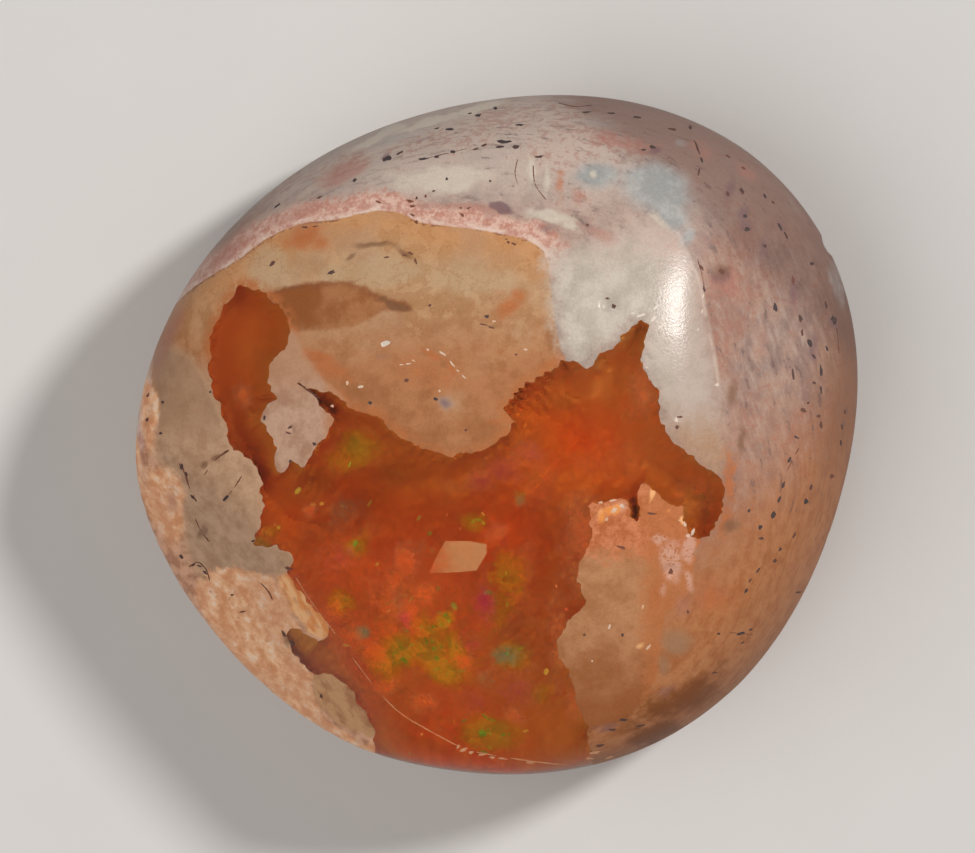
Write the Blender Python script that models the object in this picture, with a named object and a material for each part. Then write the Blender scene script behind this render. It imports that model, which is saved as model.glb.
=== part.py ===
"""A polished free-form stone of Mexican matrix fire opal: clear orange opal fills a hollow in the face
of its pink-grey rhyolite host. Metres, +Z up. The stone stands on its flat back, and the origin is the
middle of that back, under the middle of the stone's box. The window of opal faces up and a little
towards +X and +Y."""

import math

import bmesh
import bpy
import numpy as np
from mathutils import Matrix, Vector

MM = 0.001

# Plan of the stone at its widest, its girdle: a round with two, three and four soft lobes.
GIRDLE_RADIUS = 10.6 * MM
GIRDLE_HEIGHT = 2.9 * MM
LOBES = ((2, 0.057, 29), (3, 0.025, 54), (4, 0.013, 35))  # number, share of the radius, degrees

# Side of the stone: a rounded body that would close this far above and below the girdle.
SIDE_ABOVE = 9.4 * MM
SIDE_BELOW = 4.9 * MM
SIDE_ROUNDING = 2.3

# Face: a shallow dome ground across the top of that body.
DOME_TOP = Vector((-0.2, -0.4, 10.3)) * MM
DOME_RADIUS = 17 * MM

# Flats ground on the shoulder: direction in plan, slope from level, distance from the stone's heart.
HEART = Vector((0, 0, 4)) * MM
FLATS = ((220, 48, 8.0 * MM), (18, 50, 8.8 * MM))
RIDGE_SHARPNESS = 34

# The window faces this way, and its outline is drawn square to that.
FACING_AZIMUTH = math.radians(128)
FACING_ELEVATION = math.radians(72)
WINDOW_MIDDLE = (-0.82 * MM, -0.68 * MM)
WINDOW_OUTLINE_MM = (
    # Crescent at the left, down its outer side
    (-6.9, 4.6), (-7.9, 4.5), (-8.6, 3.2), (-8.7, 1.8), (-8.0, 0.0), (-7.0, -1.2), (-7.0, -2.7),
    # Round the lower-left shoulder
    (-6.6, -3.6), (-6.9, -5.0), (-6.2, -6.6), (-4.6, -7.4), (-3.7, -8.9), (-4.2, -11.0),
    # Off the stone's lower edge and back
    (3.0, -12.0), (2.7, -8.9), (2.0, -6.6), (2.6, -5.2), (2.5, -3.8), (2.9, -2.2), (4.1, -1.7),
    # Right-hand pocket and the edge of the white patch
    (5.1, -2.9), (6.4, -3.0), (6.9, -1.9), (6.0, -0.5), (5.0, 0.6), (4.6, 2.0), (4.9, 3.2), (4.0, 3.6),
    (2.8, 2.0), (1.6, 2.1), (0.4, 1.0), (0.3, -0.2), (-1.2, -0.7), (-2.8, -0.2), (-3.5, 0.8), (-4.4, 1.4),
    (-5.2, 1.3), (-5.1, 0.2),
    # Tongue of white potch and the inside of the crescent
    (-5.6, -0.7), (-6.4, -0.7), (-6.9, 0.5), (-6.7, 2.1), (-6.2, 3.2),
)

# Hollow that the opal fills: its depth under the dome at the window's edge, its depth in the middle,
# and how far in from the edge it reaches that.
RIM_DEPTH = 2.2 * MM
MIDDLE_DEPTH = 4.8 * MM
BOWL_REACH = 3.2 * MM
CUTTER_TOP = 14 * MM

FIT_GAP = 0.3 * MM

ROUND_COUNT = 5  # splits of the icosahedron that the stone starts from
HALVINGS = 40
SHARP_FROM = 35  # degrees between two faces
OUTLINE_RESOLUTION = 4
FLOOR_CELLS = 36
FLOOR_HALF_WIDTH = 13 * MM

HOST_COLOUR = (0.42, 0.26, 0.20, 1)
OPAL_COLOUR = (0.80, 0.20, 0.03, 1)


def clear_scene():
    for thing in list(bpy.data.objects):
        bpy.data.objects.remove(thing, do_unlink=True)


def new_collection(name):
    collection = bpy.data.collections.new(name)
    bpy.context.scene.collection.children.link(collection)
    return collection


def material(name, colour, roughness, transmission=0.0, ior=1.5):
    made = bpy.data.materials.new(name)
    made.use_nodes = True
    shader = made.node_tree.nodes["Principled BSDF"]
    shader.inputs["Base Color"].default_value = colour
    shader.inputs["Roughness"].default_value = roughness
    shader.inputs["Metallic"].default_value = 0.0
    shader.inputs["Transmission Weight"].default_value = transmission
    shader.inputs["IOR"].default_value = ior
    made.diffuse_color = colour
    return made


def girdle_radius(angle):
    lobes = sum(share * np.cos(count * (angle - math.radians(at))) for count, share, at in LOBES)
    return GIRDLE_RADIUS * (1 + lobes)


def flat_normal(direction, slope):
    across = math.sin(math.radians(slope))
    turn = math.radians(direction)
    return np.array((across * math.cos(turn), across * math.sin(turn), math.cos(math.radians(slope))))


def fullness(points):
    """1 on the stone's surface, less inside it: the largest of its side's, dome's and flats' measures,
    with the ridges between them softened."""
    angle = np.arctan2(points[:, 1], points[:, 0])
    out = np.hypot(points[:, 0], points[:, 1]) / girdle_radius(angle)
    above = points[:, 2] - GIRDLE_HEIGHT
    up = np.abs(above) / np.where(above > 0, SIDE_ABOVE, SIDE_BELOW)
    side = (out**SIDE_ROUNDING + up**SIDE_ROUNDING) ** (1 / SIDE_ROUNDING)
    dome_centre = np.array(DOME_TOP) - (0, 0, DOME_RADIUS)
    dome = np.linalg.norm(points - dome_centre, axis=1) / DOME_RADIUS
    total = side**RIDGE_SHARPNESS + dome**RIDGE_SHARPNESS
    for direction, slope, distance in FLATS:
        reached = (points - np.array(HEART)) @ flat_normal(direction, slope) / distance
        total += np.maximum(reached, 0) ** RIDGE_SHARPNESS
    return total ** (1 / RIDGE_SHARPNESS)


def surface_points(directions):
    """Where the rays from the stone's heart meet its surface, by halving."""
    near = np.zeros(len(directions))
    far = np.full(len(directions), 2 * GIRDLE_RADIUS)
    for _ in range(HALVINGS):
        middle = (near + far) / 2
        inside = fullness(np.array(HEART) + middle[:, None] * directions) < 1
        near = np.where(inside, middle, near)
        far = np.where(inside, far, middle)
    return np.array(HEART) + near[:, None] * directions


def stone_form(name):
    """The whole polished stone as one closed mesh, cut flat at its back."""
    bm = bmesh.new()
    bmesh.ops.create_icosphere(bm, subdivisions=ROUND_COUNT, radius=1)
    directions = np.array([vert.co for vert in bm.verts])
    for vert, place in zip(bm.verts, surface_points(directions)):
        vert.co = place
    everything = bm.verts[:] + bm.edges[:] + bm.faces[:]
    cut = bmesh.ops.bisect_plane(
        bm, geom=everything, dist=1e-7, plane_co=(0, 0, 0), plane_no=(0, 0, -1), clear_outer=True
    )
    rim = [part for part in cut["geom_cut"] if isinstance(part, bmesh.types.BMEdge)]
    bmesh.ops.contextual_create(bm, geom=rim)
    bmesh.ops.recalc_face_normals(bm, faces=bm.faces)
    box = np.array([vert.co for vert in bm.verts])
    middle = (box.min(axis=0) + box.max(axis=0)) / 2
    bmesh.ops.translate(bm, verts=bm.verts, vec=(-middle[0], -middle[1], 0))
    mesh = bpy.data.meshes.new(name)
    bm.to_mesh(mesh)
    bm.free()
    return mesh


def facing_matrix():
    """Turns the drawing's plane to the window: its Z looks out of the stone, its Y towards +Y."""
    level = math.cos(FACING_ELEVATION)
    outward = Vector(
        (
            math.sin(FACING_AZIMUTH) * level,
            -math.cos(FACING_AZIMUTH) * level,
            math.sin(FACING_ELEVATION),
        )
    )
    upward = (Vector((0, 1, 0)) - outward.y * outward).normalized()
    rightward = upward.cross(outward)
    return Matrix((rightward, upward, outward)).transposed().to_4x4()


def way_inside(across, up):
    """How far inside the window's outline a place in its drawing lies, or 0 outside it."""
    place = Vector((across, up)) - Vector(WINDOW_MIDDLE)
    corners = [Vector(corner) * MM for corner in WINDOW_OUTLINE_MM]
    nearest = math.inf
    crossed = False
    for start, end in zip(corners, corners[1:] + corners[:1]):
        run = end - start
        share = min(max((place - start).dot(run) / run.dot(run), 0), 1)
        nearest = min(nearest, (place - start - share * run).length)
        if (start.y > place.y) != (end.y > place.y):
            crossed ^= place.x < start.x + (place.y - start.y) * run.x / run.y
    return nearest if crossed else 0


def floor_height(across, up):
    """How far out the hollow's floor lies at a place in the window's drawing."""
    centre = facing_matrix().inverted() @ (DOME_TOP - Vector((0, 0, DOME_RADIUS)))
    beside = (across - centre.x) ** 2 + (up - centre.y) ** 2
    dome = centre.z + math.sqrt(max(0, DOME_RADIUS**2 - beside))
    share = min(way_inside(across, up) / BOWL_REACH, 1)
    bowl = share * share * (3 - 2 * share)
    return dome - RIM_DEPTH - (MIDDLE_DEPTH - RIM_DEPTH) * bowl


def helper(name, bm, collection):
    """A hidden object that only cuts, turned to the window."""
    mesh = bpy.data.meshes.new(name)
    bmesh.ops.recalc_face_normals(bm, faces=bm.faces)
    bm.to_mesh(mesh)
    bm.free()
    made = bpy.data.objects.new(name, mesh)
    made.matrix_world = facing_matrix()
    made.hide_render = True
    made.display_type = "WIRE"
    collection.objects.link(made)
    return made


def floor_block(name, inset, collection):
    """Everything outside the hollow's floor, as a block whose underside is that floor."""
    bm = bmesh.new()
    bmesh.ops.create_grid(bm, x_segments=FLOOR_CELLS, y_segments=FLOOR_CELLS, size=FLOOR_HALF_WIDTH)
    for vert in bm.verts:
        vert.co.z = floor_height(vert.co.x, vert.co.y) + inset
    raised = bmesh.ops.extrude_face_region(bm, geom=bm.faces[:])
    for part in raised["geom"]:
        if isinstance(part, bmesh.types.BMVert):
            part.co.z = CUTTER_TOP
    bmesh.ops.triangulate(bm, faces=bm.faces[:])
    return helper(name, bm, collection)


def window_cutter(name, inset, collection):
    """The window's outline as a block with walls square to the face, ending at the hollow's floor.
    The inset moves its walls and its floor inwards."""
    curve = bpy.data.curves.new(name, "CURVE")
    curve.dimensions = "2D"
    curve.fill_mode = "BOTH"
    curve.extrude = CUTTER_TOP
    curve.offset = -inset
    curve.resolution_u = OUTLINE_RESOLUTION
    spline = curve.splines.new("NURBS")
    spline.points.add(len(WINDOW_OUTLINE_MM) - 1)
    for point, (across, up) in zip(spline.points, WINDOW_OUTLINE_MM):
        point.co = (across * MM + WINDOW_MIDDLE[0], up * MM + WINDOW_MIDDLE[1], 0, 1)
    spline.use_cyclic_u = True
    spline.order_u = 3
    drawing = bpy.data.objects.new(name, curve)
    collection.objects.link(drawing)
    bpy.context.view_layer.update()
    graph = bpy.context.evaluated_depsgraph_get()
    mesh = bpy.data.meshes.new_from_object(drawing.evaluated_get(graph))
    bpy.data.objects.remove(drawing, do_unlink=True)
    bm = bmesh.new()
    bm.from_mesh(mesh)
    bmesh.ops.remove_doubles(bm, verts=bm.verts, dist=1e-6)
    cutter = helper(name, bm, collection)
    floor = cutter.modifiers.new("Floor", "BOOLEAN")
    floor.operation = "INTERSECT"
    floor.object = floor_block(name + "_floor", inset, collection)
    return cutter


def mineral(name, cutter, operation, surface, collection):
    """One mineral body: the stone's form with the window taken out of it, or only the window kept."""
    mesh = stone_form(name)
    mesh.materials.append(surface)
    body = bpy.data.objects.new(name, mesh)
    collection.objects.link(body)
    boolean = body.modifiers.new("Window", "BOOLEAN")
    boolean.operation = operation
    boolean.object = cutter
    mesh.shade_smooth()
    mesh.set_sharp_from_angle(angle=math.radians(SHARP_FROM))
    return body


def main():
    clear_scene()
    parts = new_collection("mexican_fire_opal")
    cutters = new_collection("cutters")
    hollow = window_cutter("hollow_cutter", 0, cutters)
    filling = window_cutter("filling_cutter", FIT_GAP, cutters)
    host = material("matrix", HOST_COLOUR, 0.35)
    clear_opal = material("fire_opal", OPAL_COLOUR, 0.06, transmission=1.0, ior=1.45)
    mineral("matrix", hollow, "DIFFERENCE", host, parts)
    mineral("fire_opal", filling, "INTERSECT", clear_opal, parts)


main()
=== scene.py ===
"""Looks for the polished matrix fire opal: pink-grey rhyolite with its cream potch, clear orange opal in
its hollow, colour flecks in the opal, and a plain studio round it. Metres, +Z up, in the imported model's
own frame. Outlines and marks are drawn in the plane that the window faces."""

import math

import bmesh
import bpy
import numpy as np
from mathutils import Matrix, Vector, noise
from mathutils.bvhtree import BVHTree


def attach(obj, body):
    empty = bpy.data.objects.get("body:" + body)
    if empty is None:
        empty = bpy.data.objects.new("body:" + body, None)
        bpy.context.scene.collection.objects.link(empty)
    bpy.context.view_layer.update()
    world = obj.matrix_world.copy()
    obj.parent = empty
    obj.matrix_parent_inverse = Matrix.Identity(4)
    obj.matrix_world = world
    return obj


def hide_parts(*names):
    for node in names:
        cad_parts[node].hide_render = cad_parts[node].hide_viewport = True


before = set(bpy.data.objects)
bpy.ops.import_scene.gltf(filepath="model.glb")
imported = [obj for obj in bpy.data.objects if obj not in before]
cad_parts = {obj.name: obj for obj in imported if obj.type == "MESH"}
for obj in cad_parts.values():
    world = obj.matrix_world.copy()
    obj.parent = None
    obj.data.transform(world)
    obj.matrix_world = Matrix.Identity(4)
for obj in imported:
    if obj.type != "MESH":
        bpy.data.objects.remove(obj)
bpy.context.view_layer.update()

MM = 0.001

# The stone's form, as in the solids: girdle, side, dome and the two flats on its shoulder
GIRDLE_RADIUS = 10.6 * MM
GIRDLE_HEIGHT = 2.9 * MM
LOBES = ((2, 0.057, 29), (3, 0.025, 54), (4, 0.013, 35))
SIDE_ABOVE = 9.4 * MM
SIDE_BELOW = 4.9 * MM
SIDE_ROUNDING = 2.3
DOME_TOP = np.array((-0.2, -0.4, 10.3)) * MM
DOME_RADIUS = 17 * MM
HEART = np.array((0, 0, 4)) * MM
FLATS = ((220, 48, 8.0 * MM), (18, 50, 8.8 * MM))
RIDGE_SHARPNESS = 60

# The way the window faces, and the place that the drawing is measured from
FACING_AZIMUTH = math.radians(128)
FACING_ELEVATION = math.radians(72)
DRAWING_START = np.array((-0.82, -0.68, 0))

# How finely the stone is meshed: all round, and again on the side that the window faces
ROUND_COUNT = 6
SPLIT_FACING = (-0.1, 0.08)
SMOOTH_BELOW = math.radians(40)
HALVINGS = 30
LEVEL_HALVINGS = 18
LEVEL_STEPS = np.linspace(-1.5, 12.5, 22)

# The hollow: a steep wall at the window's edge, then a bowl, with the grid it is measured on
WALL_REACH = 0.2
WALL_DEPTH = 2.2
MIDDLE_DEPTH = 4.6
BOWL_REACH = 3.2
CRESCENT_DEPTH = 1.8
CRESCENT_FOOT = (-1.4, 1.6)
CRESCENT_SIDE = (-5.6, 0.6)
RUN_OFF_DEPTH = 4.9
GRID_PITCH = 0.07
GRID_RANGE = ((-10.4, 8.0), (-12.2, 5.6))
ABOVE_SKIN = 0.8
BLOCK_TOP = 13.5
SEAT_OVERLAP = 0.02
LINING_DEPTH = 0.03
LINING_REACH = -0.35

# Unevenness: how much, the size of its bumps and its seed
RIM_RAGS = ((0.09, 0.17, 5), (0.12, 0.42, 6))
BOWL_WAVES = ((0.14, 1.3, 4),)
RUN_OFF_WAVES = ((0.3, 1.6, 7),)
COMB_WAVES = ((0.6, 0.5, 8),)
POLISH_WAVES = ((0.010, 2.2, 1), (0.003, 0.5, 2))
ROCK_CRUMBS = (0.03, 0.3, 3)
RELIEF_FROM = 0.6 * MM
RELIEF_FACING = -0.1
HEM_WAVES = ((0.6, 1.6, 21), (0.2, 0.4, 22))
WANDERING = ((0.16, 0.9, 0), (0.07, 0.28, 2))
WANDERING_SEEDS = (11, 12)

# How high above the back the drawn zones end and the drawn marks fade
UPPER_SIDE = 1.2
HEM_HEIGHT = 2.0
STAINS_FROM = (1.4, 0.8)
PLAY_FROM = (2.5, 1.0)
NOT_NEAR = 9.0

# Teeth along the potch's lower right edge
COMB_MIDDLE = (0.95, 1.55)
COMB_REACH = 1.5
COMB_RUN = np.array((0.66, 0.75))
COMB_PITCH = 0.26
COMB_DEPTH = 0.16

# Grains and beads, set flush with the polish
BEAD_STEP = 0.09
BEAD_LENGTH = 0.75 * BEAD_STEP
BEAD_UNEVENNESS = 1.4
BEAD_PATCHES = 0.4
LEAST_BEAD = 0.6
CREASE_WIDTH = 0.010
INLAY_CORNERS = 10
INLAY_UNEVENNESS = 0.7
INLAY_RAGGEDNESS = 1.7
INLAY_PROUD = 0.004 * MM
INLAY_DEPTH = 0.03 * MM

# The opal's polished face reaches this far under the skin, in about millimetres
FACE_DEPTH = 0.02

# The face inside the opal, whose pale peach colour paints the light that it reflects
SHEET_DEPTH = 0.22
SHEET_LEAN = 0.05
SHEET_THICKNESS = 0.03

# The flecks: how they are strewn, their platelets, and where they lie under the face
FLECK_VALUES = {
    "Density": 2.0e7,
    "Smallest": 0.00002,
    "Largest": 0.00012,
    "Shallowest": 0.00006,
    "Deepest": 0.0004,
    "Seed": 7,
}
PLATE = {"Vertices": 6, "Radius": 1.0, "Depth": 0.2}
PLATE_SHAPES = ((0.7, 0.3, 0.3), (1.6, 0.9, 0.6))
PLATE_TILTS = ((-0.5, -0.5, -3.1), (0.5, 0.5, 3.1))
PLATE_HUES = (0.0, 0.9)
THIN_COVER = 0.12
COVER_FROM_EDGE = (0.15, 0.3)
COVER_BELOW = (-0.5, 1.5)

# The studio: each light's direction in the drawing, size, power, colour and whether it is mirrored
LIGHTS = {
    "key": ((0.45, 0.27, 0.85), 0.1, 4.2, (1.0, 0.97, 0.93), True),
    "fill": ((-0.72, -0.36, 0.59), 1.2, 3.2, (1.0, 0.97, 0.94), False),
}
LIGHT_DISTANCE = 0.8
LIGHT_AIM = np.array((0, 0, 4)) * MM
AIR_COLOUR = (1.0, 0.98, 0.95, 1)
AIR_STRENGTH = 0.21
FLOOR_HALF_SIDE = 2.5
CAMERA_DISTANCE = 1.2
SENSOR_WIDTH = 36
PICTURE_WIDTH = 975
PIXEL_MM = 0.03
VIEW_MIDDLE = (-0.285, 0.255, 3.83)

# Paints: one colour, or a dark and a pale one between which a pattern changes
PAINTS = {
    "rock": ((0.31, 0.205, 0.175), (0.44, 0.285, 0.225)),
    "rock clouds": (0.45, 0.235, 0.17),
    # Partly painted light: the rock paler at the top
    "pale top": (0.62, 0.52, 0.46),
    "pale streaks": (0.56, 0.44, 0.37),
    "dark streaks": (0.22, 0.155, 0.14),
    "red spots": (0.38, 0.165, 0.12),
    "warm side": (0.42, 0.155, 0.055),
    "brown side": (0.27, 0.115, 0.06),
    "dark side": (0.16, 0.085, 0.07),
    "grey side": (0.27, 0.155, 0.125),
    "warm foot": ((0.40, 0.135, 0.045), (0.51, 0.21, 0.085)),
    "side specks": (0.15, 0.095, 0.09),
    "left rock": ((0.50, 0.22, 0.12), (0.78, 0.42, 0.26)),
    "crust": ((0.60, 0.27, 0.20), (0.82, 0.54, 0.44)),
    "dark crust": (0.50, 0.18, 0.135),
    "crust rim": (0.86, 0.64, 0.54),
    "potch": ((0.47, 0.26, 0.125), (0.58, 0.35, 0.19)),
    "potch top": (0.62, 0.28, 0.11),
    "potch clouds": (0.46, 0.30, 0.21),
    "ashen": (0.54, 0.36, 0.215),
    "peach": ((0.35, 0.125, 0.042), (0.48, 0.195, 0.078)),
    "veins": (0.36, 0.12, 0.04),
    "amber arc": ((0.34, 0.125, 0.042), (0.44, 0.19, 0.078)),
    "arc's left": (0.30, 0.095, 0.026),
    # Painted shadow along the arc's upper edge
    "arc's rim": (0.25, 0.085, 0.04),
    "potch rim": (0.50, 0.16, 0.05),
    "hairline": (0.22, 0.075, 0.04),
    "white": ((0.50, 0.43, 0.36), (0.63, 0.565, 0.49)),
    "white's right": (0.50, 0.375, 0.32),
    "white's top": (0.58, 0.42, 0.36),
    "white's specks": (0.46, 0.26, 0.21),
    "white's foot": (0.46, 0.25, 0.135),
    # A painted highlight along the ridge
    "ridge": (0.68, 0.54, 0.45),
    "tongue": ((0.44, 0.235, 0.15), (0.58, 0.36, 0.25)),
    "tongue's left": (0.52, 0.21, 0.09),
    "tongue's top": (0.50, 0.25, 0.13),
    "left lobes": ((0.45, 0.25, 0.145), (0.62, 0.385, 0.24)),
    "left lobes' top": (0.34, 0.19, 0.108),
    "left lobes' rim": (0.62, 0.38, 0.23),
    "right lobes": ((0.42, 0.18, 0.075), (0.54, 0.26, 0.125)),
    "right lobes' foot": (0.34, 0.105, 0.032),
    "crumbs": ((0.50, 0.145, 0.05), (0.68, 0.24, 0.11)),
    "right lobes' side": (0.52, 0.17, 0.058),
    "salmon": ((0.78, 0.33, 0.15), (1.0, 0.58, 0.33)),
    "salmon lumps": (1.0, 0.80, 0.64),
    "salmon clouds": (0.72, 0.34, 0.19),
    "cream patch": ((0.47, 0.20, 0.08), (0.68, 0.36, 0.17)),
    "slate": ((0.33, 0.345, 0.345), (0.43, 0.44, 0.435)),
    "low slate": (0.37, 0.20, 0.11),
    "chalk": ((0.68, 0.60, 0.50), (0.70, 0.40, 0.30)),
    "blush": (0.46, 0.19, 0.145),
    "mauve": (0.20, 0.115, 0.125),
    "rust": ((0.40, 0.11, 0.035), (0.58, 0.20, 0.07)),
    "tan": (0.21, 0.10, 0.05),
    "shade_and_umber": (0.21, 0.062, 0.012),
    "gold": ((0.84, 0.30, 0.08), (1.0, 0.54, 0.25)),
    "lapped back": (0.5, 0.36, 0.30),
    "hollow": ((0.88, 0.38, 0.04), (0.98, 0.47, 0.06)),
    # Painted shade on the hollow's floor
    "shaded hollow": (0.50, 0.23, 0.03),
    "bright hollow": (1.0, 0.66, 0.20),
    "shallow hollow": (0.80, 0.28, 0.025),
    "opal tint": ((1.0, 0.80, 0.62), (1.0, 0.90, 0.74)),
    "umber tint": (0.64, 0.62, 0.34),
    "plum tint": (0.92, 0.62, 1.0),
    "red tint": (1.0, 0.66, 0.5),
    "green tint": (0.66, 1.0, 0.30),
    "haze tint": (0.75, 1.0, 1.0),
    "lime": ((0.18, 0.28, 0.01), (0.56, 0.29, 0.01)),
    "veil": (0.40, 0.24, 0.11),
    "glow": ((0.34, 0.24, 0.01), (0.66, 0.22, 0.01)),
    "red glow": (0.82, 0.13, 0.015),
    "haze veil": (0.10, 0.22, 0.10),
    "plum veil": (0.48, 0.03, 0.10),
    "red veil": (0.95, 0.14, 0.02),
    "deep opal": (0.92, 0.44, 0.07),
    "dark grains": ((0.065, 0.045, 0.045), (0.20, 0.07, 0.04)),
    # Crystals, and glints of painted highlight
    "bright crystals": ((0.72, 0.62, 0.52), (0.80, 0.36, 0.15)),
    # Painted reflection on the opal's inner face
    "sheen": ((1.0, 0.26, 0.06), (1.0, 0.55, 0.26)),
    "floor": (0.74, 0.73, 0.72),
}
FLECK_PAINTS = (
    (0.0, (0.90, 0.12, 0.02)),
    (0.35, (0.90, 0.30, 0.03)),
    (0.7, (0.75, 0.50, 0.04)),
    (1.1, (0.45, 0.55, 0.06)),
)

HOST_MARKS = ("rust", "blush", "chalk", "slate", "mauve", "ashen", "tan", "salmon", "shade_and_umber", "gold")
OPAL_MARKS = ("green", "red", "plum", "shade_and_umber", "haze", "amber")

# Outlines: every drawn place is across and up in whole hundredths of a millimetre
OUTLINES = {
    "window": (
        (-762, 453), (-795, 417), (-825, 372), (-846, 324), (-855, 276), (-864, 207), (-849, 129),
        (-825, 69), (-804, 9), (-795, -42), (-762, -51), (-723, -87), (-705, -147), (-702, -210),
        (-708, -270), (-735, -318), (-705, -339), (-651, -330), (-609, -351), (-621, -393), (-633, -417),
        (-591, -465), (-537, -531), (-501, -579), (-519, -615), (-567, -597), (-609, -576), (-636, -597),
        (-624, -639), (-585, -687), (-537, -717), (-486, -726), (-435, -765), (-393, -831), (-372, -885),
        (-357, -939), (-375, -1065), (309, -1095), (291, -975), (270, -879), (249, -837), (231, -771),
        (222, -708), (192, -675), (174, -639), (183, -597), (216, -552), (267, -504), (255, -459),
        (234, -387), (273, -351), (282, -303), (276, -255), (276, -198), (309, -204), (345, -192),
        (381, -186), (390, -216), (399, -252), (420, -258), (435, -225), (423, -189), (429, -153),
        (444, -144), (465, -168), (495, -195), (525, -213), (561, -222), (552, -255), (579, -303),
        (609, -315), (645, -285), (675, -231), (681, -165), (657, -117), (615, -87), (561, -51), (513, -9),
        (495, 33), (486, 90), (471, 147), (444, 192), (429, 237), (438, 276), (459, 327), (438, 339),
        (405, 330), (387, 303), (360, 276), (330, 252), (300, 246), (291, 210), (264, 195), (234, 207),
        (210, 228), (177, 213), (150, 189), (129, 168), (87, 153), (72, 129), (45, 114), (24, 84), (33, 57),
        (51, 33), (33, 9), (9, -18), (-33, -42), (-81, -60), (-144, -66), (-195, -54), (-234, -39),
        (-276, -9), (-327, 21), (-348, 54), (-387, 69), (-423, 72), (-459, 99), (-489, 117), (-543, 138),
        (-582, 150), (-561, 129), (-531, 99), (-501, 69), (-483, 39), (-513, 3), (-537, -33), (-555, -63),
        (-579, -108), (-600, -90), (-621, -69), (-636, -96), (-654, -111), (-669, -75), (-663, -27),
        (-681, 9), (-705, 45), (-699, 75), (-675, 93), (-657, 105), (-675, 141), (-681, 177), (-675, 216),
        (-645, 249), (-627, 279), (-615, 315), (-639, 369), (-681, 411), (-723, 441),
    ),
    "potch": (
        (-1011, 315), (-975, 381), (-921, 435), (-849, 483), (-771, 525), (-717, 570), (-651, 609),
        (-576, 636), (-489, 642), (-423, 657), (-363, 672), (-291, 666), (-231, 633), (-156, 624),
        (-45, 612), (30, 597), (99, 582), (153, 537), (165, 405), (177, 315), (195, 249), (153, 189),
        (87, 147), (24, 87), (51, 33), (9, -18), (-81, -63), (-144, -69), (-231, -45), (-327, 15),
        (-348, 51), (-423, 69), (-582, 147), (-615, 315), (-681, 411), (-762, 453), (-825, 372), (-864, 207),
        (-825, 69), (-795, -42), (-846, -60), (-921, -105), (-996, -15), (-1035, 105), (-1035, 225),
    ),
    "white": (
        (138, 540), (189, 567), (279, 597), (369, 627), (453, 666), (498, 663), (543, 612), (573, 540),
        (609, 465), (621, 393), (639, 300), (657, 216), (672, 105), (687, -15), (693, -81), (657, -129),
        (609, -81), (561, -51), (501, 9), (483, 93), (441, 195), (429, 249), (459, 333), (405, 333),
        (363, 279), (300, 246), (264, 195), (210, 228), (183, 285), (165, 375), (153, 465),
    ),
    "left_lobes": (
        (-1041, 249), (-996, 270), (-921, 249), (-876, 180), (-849, 120), (-807, 15), (-789, -42),
        (-735, -75), (-705, -147), (-705, -255), (-741, -321), (-651, -330), (-609, -351), (-627, -411),
        (-705, -435), (-771, -447), (-846, -435), (-903, -411), (-939, -330), (-939, -255), (-963, -195),
        (-1011, -105), (-1035, -15), (-1017, 75), (-1035, 150),
    ),
    "right_lobes": (
        (258, -183), (339, -168), (411, -132), (453, -117), (513, -153), (573, -195), (555, -255),
        (585, -309), (591, -375), (579, -465), (537, -507), (495, -540), (489, -645), (474, -735),
        (429, -819), (363, -861), (297, -879), (240, -843), (213, -771), (204, -708), (159, -645),
        (165, -597), (246, -507), (216, -387), (261, -339), (261, -285),
    ),
    "pink_rock": (
        (-897, -417), (-798, -393), (-705, -417), (-651, -435), (-621, -507), (-603, -567), (-636, -597),
        (-627, -639), (-585, -687), (-549, -753), (-549, -807), (-507, -861), (-435, -909), (-339, -957),
        (-339, -1023), (-501, -975), (-651, -855), (-771, -735), (-861, -585), (-915, -483),
    ),
    "cream_patch": (
        (-537, -729), (-489, -723), (-435, -765), (-390, -834), (-372, -891), (-435, -891), (-489, -861),
        (-537, -807), (-555, -759),
    ),
    "arc_zone": (
        (-693, 411), (-672, 432), (-603, 450), (-498, 462), (-411, 450), (-354, 420), (-312, 405),
        (-255, 393), (-255, 366), (-297, 372), (-336, 375), (-375, 348), (-426, 324), (-516, 312),
        (-591, 309), (-621, 318), (-651, 351),
    ),
    "island": (
        (-675, 216), (-648, 255), (-627, 291), (-597, 285), (-567, 243), (-537, 189), (-495, 135),
        (-465, 93), (-489, 45), (-525, -15), (-567, -117), (-603, -117), (-642, -117), (-675, -99),
        (-687, -15), (-729, 33), (-729, 93), (-687, 117), (-693, 177),
    ),
}

# Where the crease of bright beads and the salmon crust run; the beads are partly chips and partly a painted
# highlight along the crease
CREASE_LINE = (
    (-600, -429), (-564, -489), (-507, -564), (-432, -666), (-369, -753), (-294, -834), (-192, -891),
    (-99, -942), (9, -963), (129, -981), (219, -990),
)
CRUST_LINE = (
    (-1077, 15), (-1053, 135), (-1023, 270), (-981, 375), (-921, 435), (-849, 483), (-771, 525), (-717, 570),
    (-651, 609), (-576, 636), (-489, 642), (-423, 657), (-363, 672), (-291, 666), (-231, 633), (-156, 624),
    (-45, 612), (30, 597), (99, 582), (159, 534),
)

# Corners of the face inside the opal
SHEET_CORNERS = (
    (-153, -315), (-81, -315), (-30, -324), (-30, -351), (-60, -402), (-123, -408), (-201, -411),
    (-183, -369),
)

# The larger pits and chips: across, up, radius and depth, in hundredths of a millimetre
PITS = (
    (327, 387, 20, 9), (348, 396, 14, 7), (519, -408, 26, 10), (1023, -315, 35, 10), (993, 570, 35, 8),
    (-816, -189, 16, 8), (538, 56, 14, 5), (-333, 273, 20, 5), (-618, 15, 14, 7),
)

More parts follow.
